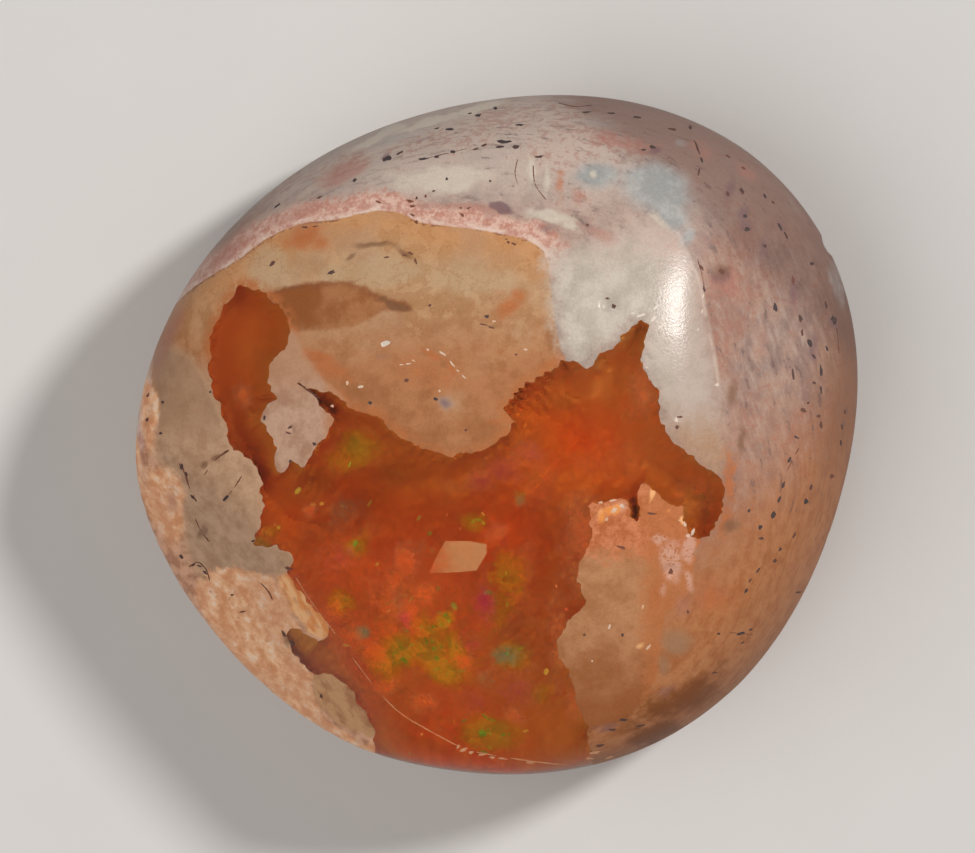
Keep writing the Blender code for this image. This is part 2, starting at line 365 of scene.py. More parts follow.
# Soft marks: across, up, half width, half height, turn and strength, each in its own unit
MARK_UNITS = (100, 100, 100, 100, 1, 10)
MARKS = {
    "salmon": (
        (-1044, 69, 24, 102, 5, 11), (-993, -213, 48, 108, 10, 13), (-1080, -105, 15, 120, 5, 7),
    ),
    "rust": (
        (-582, 594, 66, 36, 25, 13), (-537, 576, 36, 30, 0, 10), (-531, 600, 66, 24, 8, 6),
        (-525, 225, 51, 21, -32, 14), (-477, 189, 36, 18, -25, 11), (651, -483, 54, 60, 20, 13),
        (-501, 189, 42, 21, -30, 11), (-459, 165, 36, 18, -25, 8), (33, 387, 51, 33, 40, 12),
        (63, 423, 30, 36, 0, 11), (9, 429, 27, 24, 0, 5), (-9, 42, 24, 12, 0, 11),
        (-189, 243, 42, 15, -30, 11), (-135, 201, 30, 12, -45, 10), (-216, 189, 102, 54, -20, 7),
        (-942, 345, 24, 48, -35, 5), (189, 759, 18, 48, 0, 8), (693, -120, 21, 84, 5, 12),
        (675, -255, 18, 60, -10, 10), (474, -471, 27, 72, -15, 10), (507, -513, 21, 42, 0, 8),
        (429, -219, 24, 36, 0, 10), (579, -801, 102, 66, 35, 10), (429, -915, 150, 30, 15, 8),
        (189, -951, 120, 24, 0, 7), (-705, -195, 9, 60, 0, 4), (744, -495, 18, 24, 0, 5),
    ),
    "tan": (
        (-366, 567, 78, 11, 0, 10), (-441, 537, 27, 10, 38, 9), (-276, 546, 36, 12, -25, 10),
        (-309, 381, 30, 15, -18, 13), (-276, 372, 27, 14, -10, 14), (-339, 402, 30, 12, -25, 9),
        (-435, 453, 42, 9, 8, 6), (-606, 444, 48, 9, 5, 6), (-879, -87, 24, 10, 35, 10),
        (-837, -66, 24, 9, 30, 10), (-882, -294, 12, 27, -20, 10), (-891, -426, 33, 12, -15, 10),
        (-6, 327, 36, 8, -10, 7), (699, 120, 21, 66, 0, 8), (729, -15, 18, 60, -3, 9),
        (696, -276, 39, 33, 30, 8), (-627, -615, 18, 30, 30, 8), (-705, -513, 18, 12, 0, 5),
        (189, -903, 60, 18, 10, 5), (345, -765, 48, 36, 0, 4), (765, 669, 42, 54, -30, 5),
        (837, 705, 30, 36, 0, 4), (669, 489, 36, 36, 0, 7),
    ),
    "ashen": (
        (-456, 231, 108, 45, 5, 3), (-33, 207, 84, 42, 0, 4), (-681, 501, 66, 66, 30, 10),
        (-336, 489, 120, 45, 5, 10), (-81, 465, 150, 60, -5, 8), (-486, 480, 60, 30, 0, 8),
        (-375, 267, 60, 30, -10, 4), (-126, 99, 54, 54, 0, 5), (75, 309, 54, 54, 0, 4),
    ),
    "mauve": (
        (-150, 96, 27, 24, 0, 6), (-333, 240, 45, 24, 0, 4), (18, 687, 36, 15, -20, 11),
        (-327, 825, 27, 15, 20, 7), (147, 609, 42, 18, -20, 6), (669, 477, 36, 36, 0, 6),
        (663, -471, 60, 54, 0, 4), (465, 855, 27, 18, 0, 7), (741, 633, 27, 36, -20, 6),
        (1011, 339, 21, 24, 0, 7), (-201, 885, 78, 12, 12, 4), (855, 615, 18, 42, 25, 5),
        (693, 735, 21, 66, -25, 6), (735, 669, 24, 48, -30, 6), (795, 555, 21, 78, -15, 5),
        (885, 435, 18, 84, -5, 6), (945, 255, 24, 72, -5, 6), (927, 117, 21, 54, 0, 5),
        (321, -867, 78, 24, 10, 5), (504, -765, 54, 30, 30, 5),
    ),
    "slate": (
        (303, 777, 72, 42, 0, 10), (474, 735, 120, 72, -25, 11), (525, 660, 66, 42, -40, 10),
        (573, 591, 24, 42, -30, 7), (552, 867, 27, 21, 0, 5), (879, 690, 42, 72, 35, 3),
        (1023, 450, 24, 102, 15, 5), (-150, 96, 33, 30, 0, 5), (534, -618, 54, 45, 0, 9),
        (495, -687, 27, 42, 0, 7), (279, 930, 150, 24, 0, 4), (-321, 879, 120, 21, 18, 5),
        (753, 885, 60, 18, -30, 4),
    ),
    "chalk": (
        (-357, 894, 90, 11, 25, 13), (-201, 936, 102, 11, 17, 13), (-51, 984, 66, 11, 14, 13),
        (-285, 927, 24, 12, 20, 10), (-171, 771, 150, 39, 6, 10), (-123, 750, 54, 21, 0, 9),
        (-291, 777, 60, 24, 10, 6), (300, 780, 15, 15, 0, 9), (102, 789, 11, 51, 0, 9),
        (147, 765, 12, 60, 0, 8), (165, 651, 78, 21, -10, 11), (225, 618, 36, 15, -30, 8),
        (489, 642, 60, 21, -35, 7), (525, -375, 33, 57, 0, 12), (486, -315, 24, 18, 0, 11),
        (576, -333, 15, 39, 0, 11), (576, -435, 12, 33, 0, 9), (495, -459, 15, 33, 0, 7),
        (369, -210, 30, 18, 0, 5), (-783, -465, 30, 21, 35, 5),
    ),
    "blush": (
        (-981, 291, 30, 138, -22, 8), (-456, 783, 90, 33, 22, 10), (-81, 684, 180, 21, -4, 7),
        (-591, 663, 120, 24, 22, 7), (-801, 540, 120, 24, 42, 8), (369, 879, 150, 33, -10, 7),
        (609, 849, 72, 36, -30, 5), (681, 459, 42, 48, 0, 9), (789, 255, 42, 150, 0, 4),
        (309, 597, 72, 27, -20, 6), (909, -375, 75, 120, -25, 4), (645, -477, 60, 60, 0, 7),
        (-717, 66, 21, 18, 0, 8), (555, -507, 39, 60, 0, 6), (753, 789, 60, 30, -30, 6),
        (885, 405, 18, 120, -5, 5), (237, 717, 24, 42, 0, 6), (-1047, 33, 18, 66, 0, 6),
        (-975, -195, 24, 78, 15, 6),
    ),
    "green": (
        (-426, -339, 36, 27, 0, 10), (-75, -258, 33, 33, 0, 9), (66, -186, 30, 30, 0, 5),
        (-156, -549, 27, 24, 0, 14), (-291, -651, 60, 54, 30, 11), (-216, -645, 66, 54, 0, 10),
        (-171, -699, 78, 36, -20, 11), (-336, -684, 54, 42, 0, 9), (-201, -579, 54, 36, 0, 7),
        (-132, -630, 36, 54, 0, 9), (39, -660, 54, 54, 0, 7), (-27, -900, 78, 48, -10, 13),
        (-423, -45, 60, 54, 0, 9), (-465, -81, 54, 42, 0, 6), (-705, -318, 30, 24, 0, 11),
        (-675, -285, 27, 24, 0, 7), (33, -417, 54, 78, 0, 6), (9, -507, 48, 72, 0, 5),
        (-462, -501, 42, 36, 0, 7), (129, -765, 48, 36, 0, 5), (-141, -855, 48, 30, 0, 4),
    ),
    "red": (
        (-600, -639, 36, 66, -30, 3), (-555, -699, 42, 48, -40, 3), (-276, -384, 36, 60, 0, 11),
        (-300, -435, 24, 36, 0, 10), (-210, -471, 30, 30, 0, 10), (-252, -525, 30, 36, 0, 8),
        (-369, -663, 48, 36, -40, 11), (-435, -615, 54, 33, -45, 10), (-102, -675, 30, 42, 0, 9),
        (-339, -750, 36, 21, 0, 11), (-225, -801, 48, 27, 0, 10), (234, -801, 30, 60, 0, 9),
        (39, -846, 33, 36, 0, 8), (-6, -294, 36, 36, 0, 6), (69, -45, 72, 48, 0, 4),
        (-561, -225, 18, 18, 0, 12), (-762, 120, 27, 48, 0, 9), (249, -315, 60, 168, 0, 7),
        (429, 129, 48, 84, 0, 6), (-291, -495, 102, 150, 20, 5), (189, -615, 42, 180, 0, 6),
        (-501, -543, 30, 72, -40, 8),
    ),
    "plum": (
        (-30, -504, 36, 45, 0, 10), (18, -99, 72, 42, 0, 9), (-57, -138, 48, 30, 0, 8),
        (105, -60, 48, 36, 0, 5), (-282, -549, 30, 30, 0, 7), (69, -765, 60, 54, 0, 7),
        (-486, -375, 66, 60, 0, 5), (129, -210, 36, 30, 0, 4), (-66, -795, 54, 42, 0, 5),
        (-81, -615, 42, 42, 0, 5),
    ),
    "amber": (
        (-201, -615, 330, 240, 0, 8), (99, -615, 90, 180, 0, 4), (75, -375, 42, 90, 0, 6),
        (54, -495, 42, 90, 0, 6), (129, -129, 60, 78, 0, 6), (591, -183, 48, 60, 0, 7),
        (339, -81, 120, 72, 0, 5), (-135, -147, 42, 30, 0, 5), (-126, -615, 24, 36, 0, 10),
        (-396, -297, 24, 30, 0, 9), (-471, -375, 150, 180, 0, 5),
    ),
    # Mostly painted shade: under the potch's edge, in the crescent's lower part and low in the opal; the
    # last five lie on the host's lower right
    "shade_and_umber": (
        (195, 93, 78, 42, 0, 6), (-405, -210, 120, 90, 0, 8), (-501, -135, 90, 60, 0, 8),
        (63, -555, 78, 120, 0, 6), (-516, -285, 72, 72, 0, 6), (-786, 105, 60, 180, 0, 5),
        (-126, -471, 66, 42, 0, 7), (-306, -105, 150, 42, 0, 6), (-81, -795, 60, 42, 0, 5),
        (-456, -765, 36, 78, 45, 9), (-231, -921, 120, 21, -20, 9), (585, -783, 126, 57, 30, 10),
        (483, -819, 78, 45, 12, 10), (465, -894, 108, 30, 22, 11), (345, -873, 126, 33, 8, 9),
        (675, -681, 36, 24, 40, 6),
    ),
    "haze": (
        (-408, -591, 21, 18, 0, 13), (24, -660, 48, 36, 0, 9), (69, -195, 24, 24, 0, 8),
        (-24, -729, 36, 42, 0, 5), (-291, -495, 24, 54, 0, 5), (-459, -219, 90, 54, 0, 5),
        (-201, -330, 120, 42, 0, 3),
    ),
    "gold": (
        (429, -633, 18, 12, 50, 5), (-567, -528, 90, 33, -48, 14), (-627, -447, 36, 24, -48, 10),
        (-537, -579, 42, 27, -30, 12), (345, -219, 27, 15, 20, 9), (312, -243, 12, 30, 0, 7),
        (510, -219, 12, 9, 0, 5), (561, -258, 9, 18, 20, 7), (453, -177, 9, 24, -10, 7),
    ),
}

# Grains: across, up, half length, half width, turn and tone, each in its own unit
GRAIN_UNITS = (100, 100, 1000, 1000, 1, 10)
DARK_GRAINS = (
    (-327, 828, 150, 70, 20, 0), (-291, 843, 110, 33, 25, 2), (-222, 825, 150, 35, 5, 0),
    (-180, 831, 90, 29, 5, 0), (-132, 846, 70, 53, 0, 0), (-141, 915, 130, 31, 5, 0),
    (-180, 918, 70, 24, 10, 1), (-57, 957, 110, 44, 5, 0), (-6, 978, 70, 44, 0, 0), (-81, 963, 70, 24, 0, 2),
    (69, 927, 130, 33, 0, 1), (21, 876, 200, 53, 2, 0), (9, 861, 130, 44, -5, 1), (57, 861, 110, 57, 0, 2),
    (-39, 867, 90, 33, 20, 3), (-63, 855, 90, 26, 20, 4), (-150, 765, 40, 44, 0, 0),
    (-21, 759, 40, 35, 0, 0), (126, 831, 130, 33, 5, 2), (-426, 762, 70, 44, 20, 0),
    (-531, 711, 90, 24, 30, 3), (-657, 687, 110, 33, 35, 0), (-189, 729, 40, 33, 0, 4),
    (-240, 708, 40, 44, 0, 3), (267, 966, 130, 26, 3, 1), (342, 963, 110, 24, -2, 1),
    (417, 951, 130, 29, -6, 1), (525, 915, 150, 31, -8, 4), (579, 921, 50, 53, 0, 2),
    (597, 864, 240, 29, -70, 4), (612, 822, 90, 35, -75, 0), (603, 786, 110, 31, 80, 3),
    (690, 834, 90, 33, -25, 7), (738, 798, 70, 33, -40, 9), (465, 861, 90, 44, -10, 1),
    (438, 852, 70, 33, 0, 2), (690, 720, 90, 44, -60, 5), (732, 729, 110, 44, -60, 3),
    (741, 654, 70, 57, 0, 0), (747, 615, 90, 75, 0, 1), (801, 714, 90, 33, -50, 0),
    (825, 696, 70, 29, -50, 2), (846, 621, 130, 35, -65, 1), (864, 597, 130, 35, -60, 2),
    (801, 564, 70, 44, -60, 3), (609, 501, 110, 44, -60, 6), (618, 435, 90, 33, -75, 2),
    (669, 489, 110, 75, -20, 7), (831, 381, 120, 62, -80, 0), (885, 462, 150, 42, -85, 8),
    (906, 348, 130, 53, -75, 3), (912, 306, 110, 42, -85, 6), (936, 276, 130, 62, -60, 0),
    (948, 234, 110, 33, -60, 2), (969, 192, 180, 40, -88, 0), (969, 135, 130, 33, -85, 1),
    (885, 180, 180, 42, -85, 3), (948, 156, 50, 44, 0, 4), (915, 75, 90, 62, -30, 6),
    (930, 96, 40, 44, 0, 4), (969, 30, 110, 44, -80, 5), (960, 57, 70, 44, 0, 5), (894, -6, 90, 33, -20, 1),
    (1032, 24, 90, 26, -80, 4), (1041, 69, 90, 26, -80, 5), (984, 390, 110, 33, -80, 3),
    (1008, 345, 130, 79, -70, 1), (987, 258, 90, 33, -70, 1), (942, 513, 70, 44, 0, 1),
    (1029, -24, 90, 26, -85, 2), (873, -75, 90, 42, 60, 1), (855, -150, 110, 44, 75, 2),
    (843, -192, 90, 40, 75, 1), (825, -237, 110, 62, 75, 1), (786, -276, 80, 55, 60, 0),
    (789, -309, 70, 44, 0, 2), (753, -225, 50, 53, 0, 2), (924, -198, 90, 62, 70, 0),
    (939, -156, 90, 33, 70, 5), (1002, -123, 70, 66, 0, 10), (888, -300, 90, 33, 60, 6),
    (846, -342, 70, 33, 60, 3), (831, -375, 70, 44, 40, 5), (744, -465, 90, 42, 65, 1),
    (780, -405, 110, 22, 55, 2), (756, -435, 90, 22, 55, 2), (903, -471, 110, 22, 5, 1),
    (729, -594, 130, 40, 20, 0), (759, -582, 70, 24, 25, 1), (663, -594, 50, 33, 0, 0),
    (735, -621, 70, 22, 20, 2), (519, -408, 70, 88, 0, 10), (462, -234, 130, 35, -5, 10),
    (372, -336, 150, 40, -15, 10), (375, -597, 40, 44, 0, 2), (261, -597, 40, 35, 0, 3),
    (570, -528, 40, 44, 0, 7), (378, -852, 110, 44, 0, 1), (651, -711, 90, 26, 10, 4),
    (309, -930, 130, 33, 10, 6), (345, -882, 110, 31, 5, 4), (429, -870, 150, 26, 10, 4),
    (330, 408, 80, 33, -20, 6), (348, 384, 70, 62, 0, 4), (546, 54, 90, 31, 0, 7), (537, 24, 60, 57, 0, 6),
    (270, 627, 50, 44, 0, 8), (-258, 543, 110, 33, -25, 8), (-243, 519, 90, 33, -70, 9),
    (-276, 537, 70, 26, 0, 9), (-330, 531, 90, 26, 10, 6), (-240, 636, 70, 44, -60, 9),
    (-252, 657, 90, 31, -20, 9), (-495, 486, 110, 57, 25, 3), (-672, 513, 110, 48, 40, 5),
    (-573, 621, 110, 33, -10, 9), (-543, 624, 90, 22, 10, 9), (33, 576, 40, 44, 0, 8),
    (51, 570, 70, 31, -20, 8), (27, 585, 40, 22, 0, 7), (-30, 354, 70, 53, 0, 2),
    (-42, 330, 130, 22, -10, 8), (-18, 321, 90, 22, -15, 8), (-183, 108, 70, 44, -30, 1),
    (-378, 96, 70, 53, 0, 0), (-270, 162, 60, 57, 0, 8), (57, 240, 40, 33, 0, 8), (-93, 15, 40, 44, 0, 8),
    (-201, 387, 40, 44, 0, 6), (-618, 24, 90, 40, 35, 3), (-624, 6, 70, 33, -20, 4),
    (-546, -27, 70, 44, -20, 2), (-696, 51, 70, 40, 80, 1), (-618, -78, 40, 44, 0, 3),
    (-945, -96, 110, 53, -70, 1), (-930, -117, 70, 33, -60, 2), (-912, -186, 90, 42, -40, 2),
    (-813, -189, 90, 53, 50, 0), (-1002, 99, 40, 44, 0, 2), (-1008, 6, 50, 44, 0, 2),
    (-858, 129, 40, 35, 0, 3), (-912, -390, 70, 33, 40, 1), (-894, -393, 90, 22, -20, 4),
    (-876, -414, 90, 42, -45, 2), (-948, -366, 70, 40, -60, 2), (-732, -318, 70, 33, 30, 5),
    (-1047, 120, 70, 33, 60, 7), (-1050, 45, 70, 33, 60, 6), (-795, -480, 40, 33, 0, 2),
    (-765, -531, 90, 22, 10, 3), (-639, -597, 110, 42, -60, 5), (-615, -624, 90, 57, -40, 5),
    (-624, -399, 110, 48, -20, 9), (-528, -783, 70, 44, 80, 5), (-261, 699, 110, 44, -10, 10),
    (-252, 684, 90, 40, 0, 10), (-354, 696, 90, 33, -20, 10), (-105, 657, 90, 40, -30, 10),
    (-108, 678, 40, 26, 0, 8), (-213, 714, 40, 44, 0, 9), (-84, 678, 70, 24, 20, 5),
)
# Bright crystals; the white ones near the ridge at the upper right are glints of painted highlight
CRYSTALS_AND_GLINTS = (
    (-333, 273, 150, 76, 20, 0), (-690, -615, 80, 67, -30, 9), (-651, -651, 110, 32, -30, 9),
    (-861, -471, 50, 42, 0, 9), (-843, -486, 40, 34, 0, 9), (-696, -444, 60, 32, -20, 9),
    (348, -225, 110, 76, 30, 5), (372, -210, 80, 59, -20, 4), (327, -252, 60, 42, 60, 6),
    (348, -195, 130, 29, 10, 4), (309, -201, 80, 32, 10, 6), (561, -267, 80, 42, -60, 3),
    (585, -288, 110, 46, 70, 2), (570, -300, 80, 42, 20, 4), (546, -255, 50, 25, 0, 6),
    (336, -573, 80, 38, 70, 3), (453, -633, 110, 38, 50, 5), (285, -675, 30, 34, 0, 4),
    (435, -513, 80, 34, 70, 7), (-285, 210, 60, 21, 0, 3), (-264, 213, 80, 23, 10, 3),
    (-249, 222, 60, 21, -20, 5), (-207, 255, 50, 32, -30, 4), (-162, 243, 130, 27, -35, 2),
    (-135, 213, 110, 27, -50, 3), (-117, 192, 60, 21, -40, 4), (-99, 174, 80, 23, -45, 2),
    (-171, 132, 40, 32, 0, 4), (-9, 339, 50, 32, 0, 5), (-447, 156, 60, 42, 80, 5),
    (-408, 144, 80, 42, 0, 3), (-492, 87, 40, 42, 0, 5), (84, 255, 60, 32, 0, 4), (501, 414, 110, 29, 60, 0),
    (519, 396, 110, 29, 60, 0), (534, 375, 80, 29, 60, 0), (474, 381, 110, 29, 50, 0),
    (465, 345, 130, 38, 50, 0), (489, 324, 110, 34, 45, 0), (429, 357, 130, 29, 20, 0),
    (405, 363, 60, 38, 0, 0), (561, 519, 60, 29, -60, 1), (612, 369, 60, 29, 80, 0),
    (615, 414, 80, 25, 80, 1), (657, 150, 60, 46, 0, 1), (600, 315, 60, 25, 70, 1), (447, 201, 40, 25, 0, 2),
    (-99, -942, 110, 42, 20, 9), (-78, -951, 80, 42, 0, 9), (-45, -957, 130, 38, 10, 9),
    (-15, -966, 80, 32, -10, 9), (15, -969, 130, 25, -8, 9), (99, -981, 110, 29, 0, 9),
    (-117, -933, 60, 29, 60, 9), (294, -951, 170, 34, 10, 9), (339, -966, 150, 32, 15, 9),
    (279, -969, 110, 29, 0, 9), (-981, -162, 50, 34, 60, 9), (-1002, -213, 50, 38, 30, 9),
    (-603, -495, 150, 34, -50, 9), (-564, -531, 110, 42, -45, 9), (-537, -573, 130, 29, -40, 9),
    (-807, -495, 110, 50, 40, 9), (-741, -510, 80, 42, 20, 9), (-777, -549, 80, 42, -30, 9),
    (-636, -765, 60, 38, -40, 9), (-591, -795, 80, 38, -40, 9), (-681, -699, 80, 34, -40, 9),
    (-561, -786, 40, 42, 0, 9),
)

# Thin dark cracks: their line, half width in thousandths of a millimetre, and tone in tenths
CRACKS = (
    (((-951, -87), (-933, -117), (-924, -156), (-903, -195)), 16, 10),
    (((-921, -393), (-897, -378), (-873, -402), (-864, -432)), 14, 7),
    (((-903, -255), (-888, -291), (-867, -315)), 14, 8),
    (((-768, -129), (-783, -153), (-801, -177)), 13, 10),
    (((-873, -114), (-852, -84), (-831, -63), (-807, -48)), 22, 9),
    (((-591, 153), (-567, 135), (-537, 114)), 22, 9),
    (((-705, -447), (-687, -465), (-675, -489)), 14, 10),
    (((-639, -531), (-621, -561), (-633, -585)), 22, 6),
    (((600, 519), (612, 480), (618, 447)), 11, 8),
    (((108, 801), (111, 747), (144, 705)), 11, 9),
    (((60, 819), (51, 777), (69, 735)), 9, 9),
    (((-219, 825), (-171, 837), (-132, 846), (-81, 858)), 11, 5),
    (((1017, 315), (1023, 249)), 11, 6),
    (((900, -42), (879, -81), (864, -111)), 11, 6),
    (((189, 993), (234, 981), (279, 987)), 9, 6),
    (((702, -591), (762, -597)), 9, 7),
)


def facing_axes():
    """The drawing plane's right, its up and the way the window faces, as rows."""
    level = math.cos(FACING_ELEVATION)
    outward = np.array(
        (math.sin(FACING_AZIMUTH) * level, -math.cos(FACING_AZIMUTH) * level, math.sin(FACING_ELEVATION))
    )
    upward = np.array((0, 1, 0)) - outward[1] * outward
    upward /= np.linalg.norm(upward)
    return np.array((np.cross(upward, outward), upward, outward))


AXES = facing_axes()


def to_drawing(points):
    """Places in metres to millimetres in the window's drawing: across, up and outwards."""
    return points @ AXES.T / MM - DRAWING_START


def from_drawing(places):
    return (np.asarray(places) + DRAWING_START) @ AXES * MM


def millimetres(drawn):
    return np.array(drawn) / 100


def girdle_radius(angle):
    lobes = sum(share * np.cos(count * (angle - math.radians(at))) for count, share, at in LOBES)
    return GIRDLE_RADIUS * (1 + lobes)


def flat_normal(direction, slope):
    across = math.sin(math.radians(slope))
    turn = math.radians(direction)
    return np.array((across * math.cos(turn), across * math.sin(turn), math.cos(math.radians(slope))))


def fullness(points):
    """1 on the stone's surface and less inside it, by its side, its dome and its flats."""
    angle = np.arctan2(points[:, 1], points[:, 0])
    out = np.hypot(points[:, 0], points[:, 1]) / girdle_radius(angle)
    above = points[:, 2] - GIRDLE_HEIGHT
    up = np.abs(above) / np.where(above > 0, SIDE_ABOVE, SIDE_BELOW)
    side = (out**SIDE_ROUNDING + up**SIDE_ROUNDING) ** (1 / SIDE_ROUNDING)
    dome = np.linalg.norm(points - DOME_TOP + (0, 0, DOME_RADIUS), axis=1) / DOME_RADIUS
    total = side**RIDGE_SHARPNESS + dome**RIDGE_SHARPNESS
    for direction, slope, distance in FLATS:
        reached = (points - HEART) @ flat_normal(direction, slope) / distance
        total += np.maximum(reached, 0) ** RIDGE_SHARPNESS
    return total ** (1 / RIDGE_SHARPNESS)


def sunken(points, shift):
    """How far under the stone's skin places lie, in about millimetres."""
    return (1 - fullness(points + shift)) * 10


def last_inside(near, far, filled, halvings):
    """How far out along each ray the stone reaches, by halving."""
    for _ in range(halvings):
        middle = (near + far) / 2
        inside = filled(middle) < 1
        near = np.where(inside, middle, near)
        far = np.where(inside, far, middle)
    return near


def surface_points(directions):
    """Where the rays from the stone's heart meet its surface."""
    def filled(reach):
        return fullness(HEART + reach[:, None] * directions)

    nothing = np.zeros(len(directions))
    reach = last_inside(nothing, nothing + 2 * GIRDLE_RADIUS, filled, HALVINGS)
    return HEART + reach[:, None] * directions


def skin_level(places, shift):
    """How far out the stone's skin lies over places in the drawing, or where they pass nearest to it."""
    def filled(levels):
        return fullness(from_drawing(np.column_stack((places, levels))) + shift)

    shares = np.array([filled(np.full(len(places), level)) for level in LEVEL_STEPS])
    within = shares < 1
    topmost = len(LEVEL_STEPS) - 1 - np.argmax(within[::-1], axis=0)
    near = LEVEL_STEPS[topmost]
    reached = last_inside(near, near + LEVEL_STEPS[1] - LEVEL_STEPS[0], filled, LEVEL_HALVINGS)
    return np.where(within.any(axis=0), reached, LEVEL_STEPS[np.argmin(shares, axis=0)])


def coordinates(mesh):
    places = np.zeros(len(mesh.vertices) * 3, np.float32)
    mesh.vertices.foreach_get("co", places)
    return places.reshape(-1, 3).astype(float)


def roughness_at(places, size, seed):
    """Smooth seeded unevenness from -1 to 1, with bumps about one size across."""
    start = Vector((seed * 17.3, seed * 5.1, seed * 9.7))
    return np.array([noise.noise(Vector(place) / size + start) for place in places])


def unevenness(places, waves):
    return sum(amount * roughness_at(places, size, seed) for amount, size, seed in waves)


def level_places(places):
    """Places in the drawing, with nothing outwards."""
    return np.column_stack((places, np.zeros(len(places))))


def wandering(places):
    """Places pushed about a little, so that drawn marks get uneven edges."""
    flat = level_places(places)
    pushes = []
    for seed in WANDERING_SEEDS:
        waves = [(amount, size, seed + more) for amount, size, more in WANDERING]
        pushes.append(unevenness(flat, waves))
    return places + np.column_stack(pushes)


def cut_corners(points, following):
    """Each corner gives way to two places, a quarter of the way along the runs beside it."""
    near = 0.75 * points + 0.25 * following
    far = 0.25 * points + 0.75 * following
    return np.stack((near, far), axis=1).reshape(-1, 2)


def square_distance(places, start, end):
    """From each place to the straight run between two others."""
    run = end - start
    away = places - start
    share = np.clip(away @ run / (run @ run), 0, 1)
    return ((away - share[:, None] * run) ** 2).sum(axis=1)


def inside_distance(places, name):
    """How far inside a drawn outline each place lies, less than nothing outside it."""
    outline = millimetres(OUTLINES[name])
    corners = cut_corners(outline, np.roll(outline, -1, axis=0))
    nearest = np.full(len(places), 1e9)
    crossed = np.zeros(len(places), bool)
    across, up = places[:, 0], places[:, 1]
    for start, end in zip(corners, np.roll(corners, -1, axis=0)):
        nearest = np.minimum(nearest, square_distance(places, start, end))
        if start[1] != end[1]:
            run = end - start
            passes = (start[1] > up) != (end[1] > up)
            crossed ^= passes & (across < start[0] + (up - start[1]) * run[0] / run[1])
    return np.where(crossed, 1, -1) * np.sqrt(nearest)


def line_distance(places, line):
    """How far each place lies from an open drawn line."""
    points = millimetres(line)
    runs = [square_distance(places, start, end) for start, end in zip(points[:-1], points[1:])]
    return np.sqrt(np.min(runs, axis=0))


def marked(places, name):
    """How strongly the soft oval marks of one kind lie on each place."""
    strongest = np.zeros(len(places))
    for across, up, half_width, half_height, turn, strength in np.array(MARKS[name]) / MARK_UNITS:
        cosine, sine = math.cos(math.radians(turn)), math.sin(math.radians(turn))
        right = (places[:, 0] - across) * cosine + (places[:, 1] - up) * sine
        above = (places[:, 1] - up) * cosine - (places[:, 0] - across) * sine
        spread = (right / half_width) ** 2 + (above / half_height) ** 2
        strongest = np.maximum(strongest, strength * np.exp(-0.9 * spread))
    return strongest


def eased(share):
    share = np.clip(share, 0, 1)
    return share * share * (3 - 2 * share)


def in_scene(name, data):
    thing = bpy.data.objects.new(name, data)
    bpy.context.scene.collection.objects.link(thing)
    return thing


def shown(name, mesh, finish):
    mesh.materials.clear()
    mesh.materials.append(finish)
    return in_scene(name, mesh)


def plain_copy(source, name):
    """What an object's modifiers make of it, as a plain mesh. The object itself goes."""
    bpy.context.view_layer.update()
    graph = bpy.context.evaluated_depsgraph_get()
    mesh = bpy.data.meshes.new_from_object(source.evaluated_get(graph))
    mesh.name = name
    bpy.data.objects.remove(source, do_unlink=True)
    return mesh


def store(mesh, name, values):
    attribute = mesh.attributes.new(name, "FLOAT", "POINT")
    attribute.data.foreach_set("value", np.asarray(values, np.float32))


def stored(mesh, name):
    values = np.zeros(len(mesh.vertices), np.float32)
    mesh.attributes[name].data.foreach_get("value", values)
    return values


def in_triangles(bm):
    bmesh.ops.triangulate(bm, faces=[face for face in bm.faces if len(face.verts) > 3])


def polished_stone():
    """The whole stone as one closed mesh on its flat back, finest on the side of the window."""
    bm = bmesh.new()
    bmesh.ops.create_icosphere(bm, subdivisions=ROUND_COUNT, radius=1)
    for limit in SPLIT_FACING:
        outward = Vector(AXES[2])
        edges = [e for e in bm.edges if (e.verts[0].co + e.verts[1].co).normalized().dot(outward) > limit]
        bmesh.ops.subdivide_edges(bm, edges=edges, cuts=1, use_grid_fill=True)
        in_triangles(bm)
    directions = np.array([vert.co for vert in bm.verts])
    directions /= np.linalg.norm(directions, axis=1)[:, None]
    for vert, place in zip(bm.verts, surface_points(directions)):
        vert.co = place
    everything = bm.verts[:] + bm.edges[:] + bm.faces[:]
    cut = bmesh.ops.bisect_plane(
        bm, geom=everything, dist=1e-7, plane_co=(0, 0, 0), plane_no=(0, 0, -1), clear_outer=True
    )
    rim = [part for part in cut["geom_cut"] if isinstance(part, bmesh.types.BMEdge)]
    bmesh.ops.contextual_create(bm, geom=rim)
    in_triangles(bm)
    bmesh.ops.recalc_face_normals(bm, faces=bm.faces)
    box = np.array([vert.co for vert in bm.verts])
    middle = (box.min(axis=0) + box.max(axis=0)) / 2
    shift = np.array((middle[0], middle[1], 0))
    bmesh.ops.translate(bm, verts=bm.verts, vec=-shift)
    mesh = bpy.data.meshes.new("polished_stone")
    bm.to_mesh(mesh)
    bm.free()
    return mesh, shift


def relief(skin):
    """The polish's faint waves, the host's pits and the chips along its edge."""
    places = coordinates(skin)
    outward = places - HEART
    outward /= np.linalg.norm(outward, axis=1)[:, None]
    lift = unevenness(places / MM, POLISH_WAVES)
    drawn = to_drawing(places)
    facing = outward @ AXES[2] > RELIEF_FACING
    for across, up, radius, depth in millimetres(PITS):
        away = np.hypot(drawn[:, 0] - across, drawn[:, 1] - up) / radius
        lift -= np.where(facing, depth * np.maximum(0, 1 - away**2), 0)
    amount, size, seed = ROCK_CRUMBS
    rocky = eased((inside_distance(drawn[:, :2], "pink_rock") + 0.1) / 0.3)
    lift += np.where(facing, amount * rocky * roughness_at(places / MM, size, seed), 0)
    lift *= eased(places[:, 2] / RELIEF_FROM)
    places += outward * lift[:, None] * MM
    skin.vertices.foreach_set("co", places.astype(np.float32).ravel())
    skin.update()


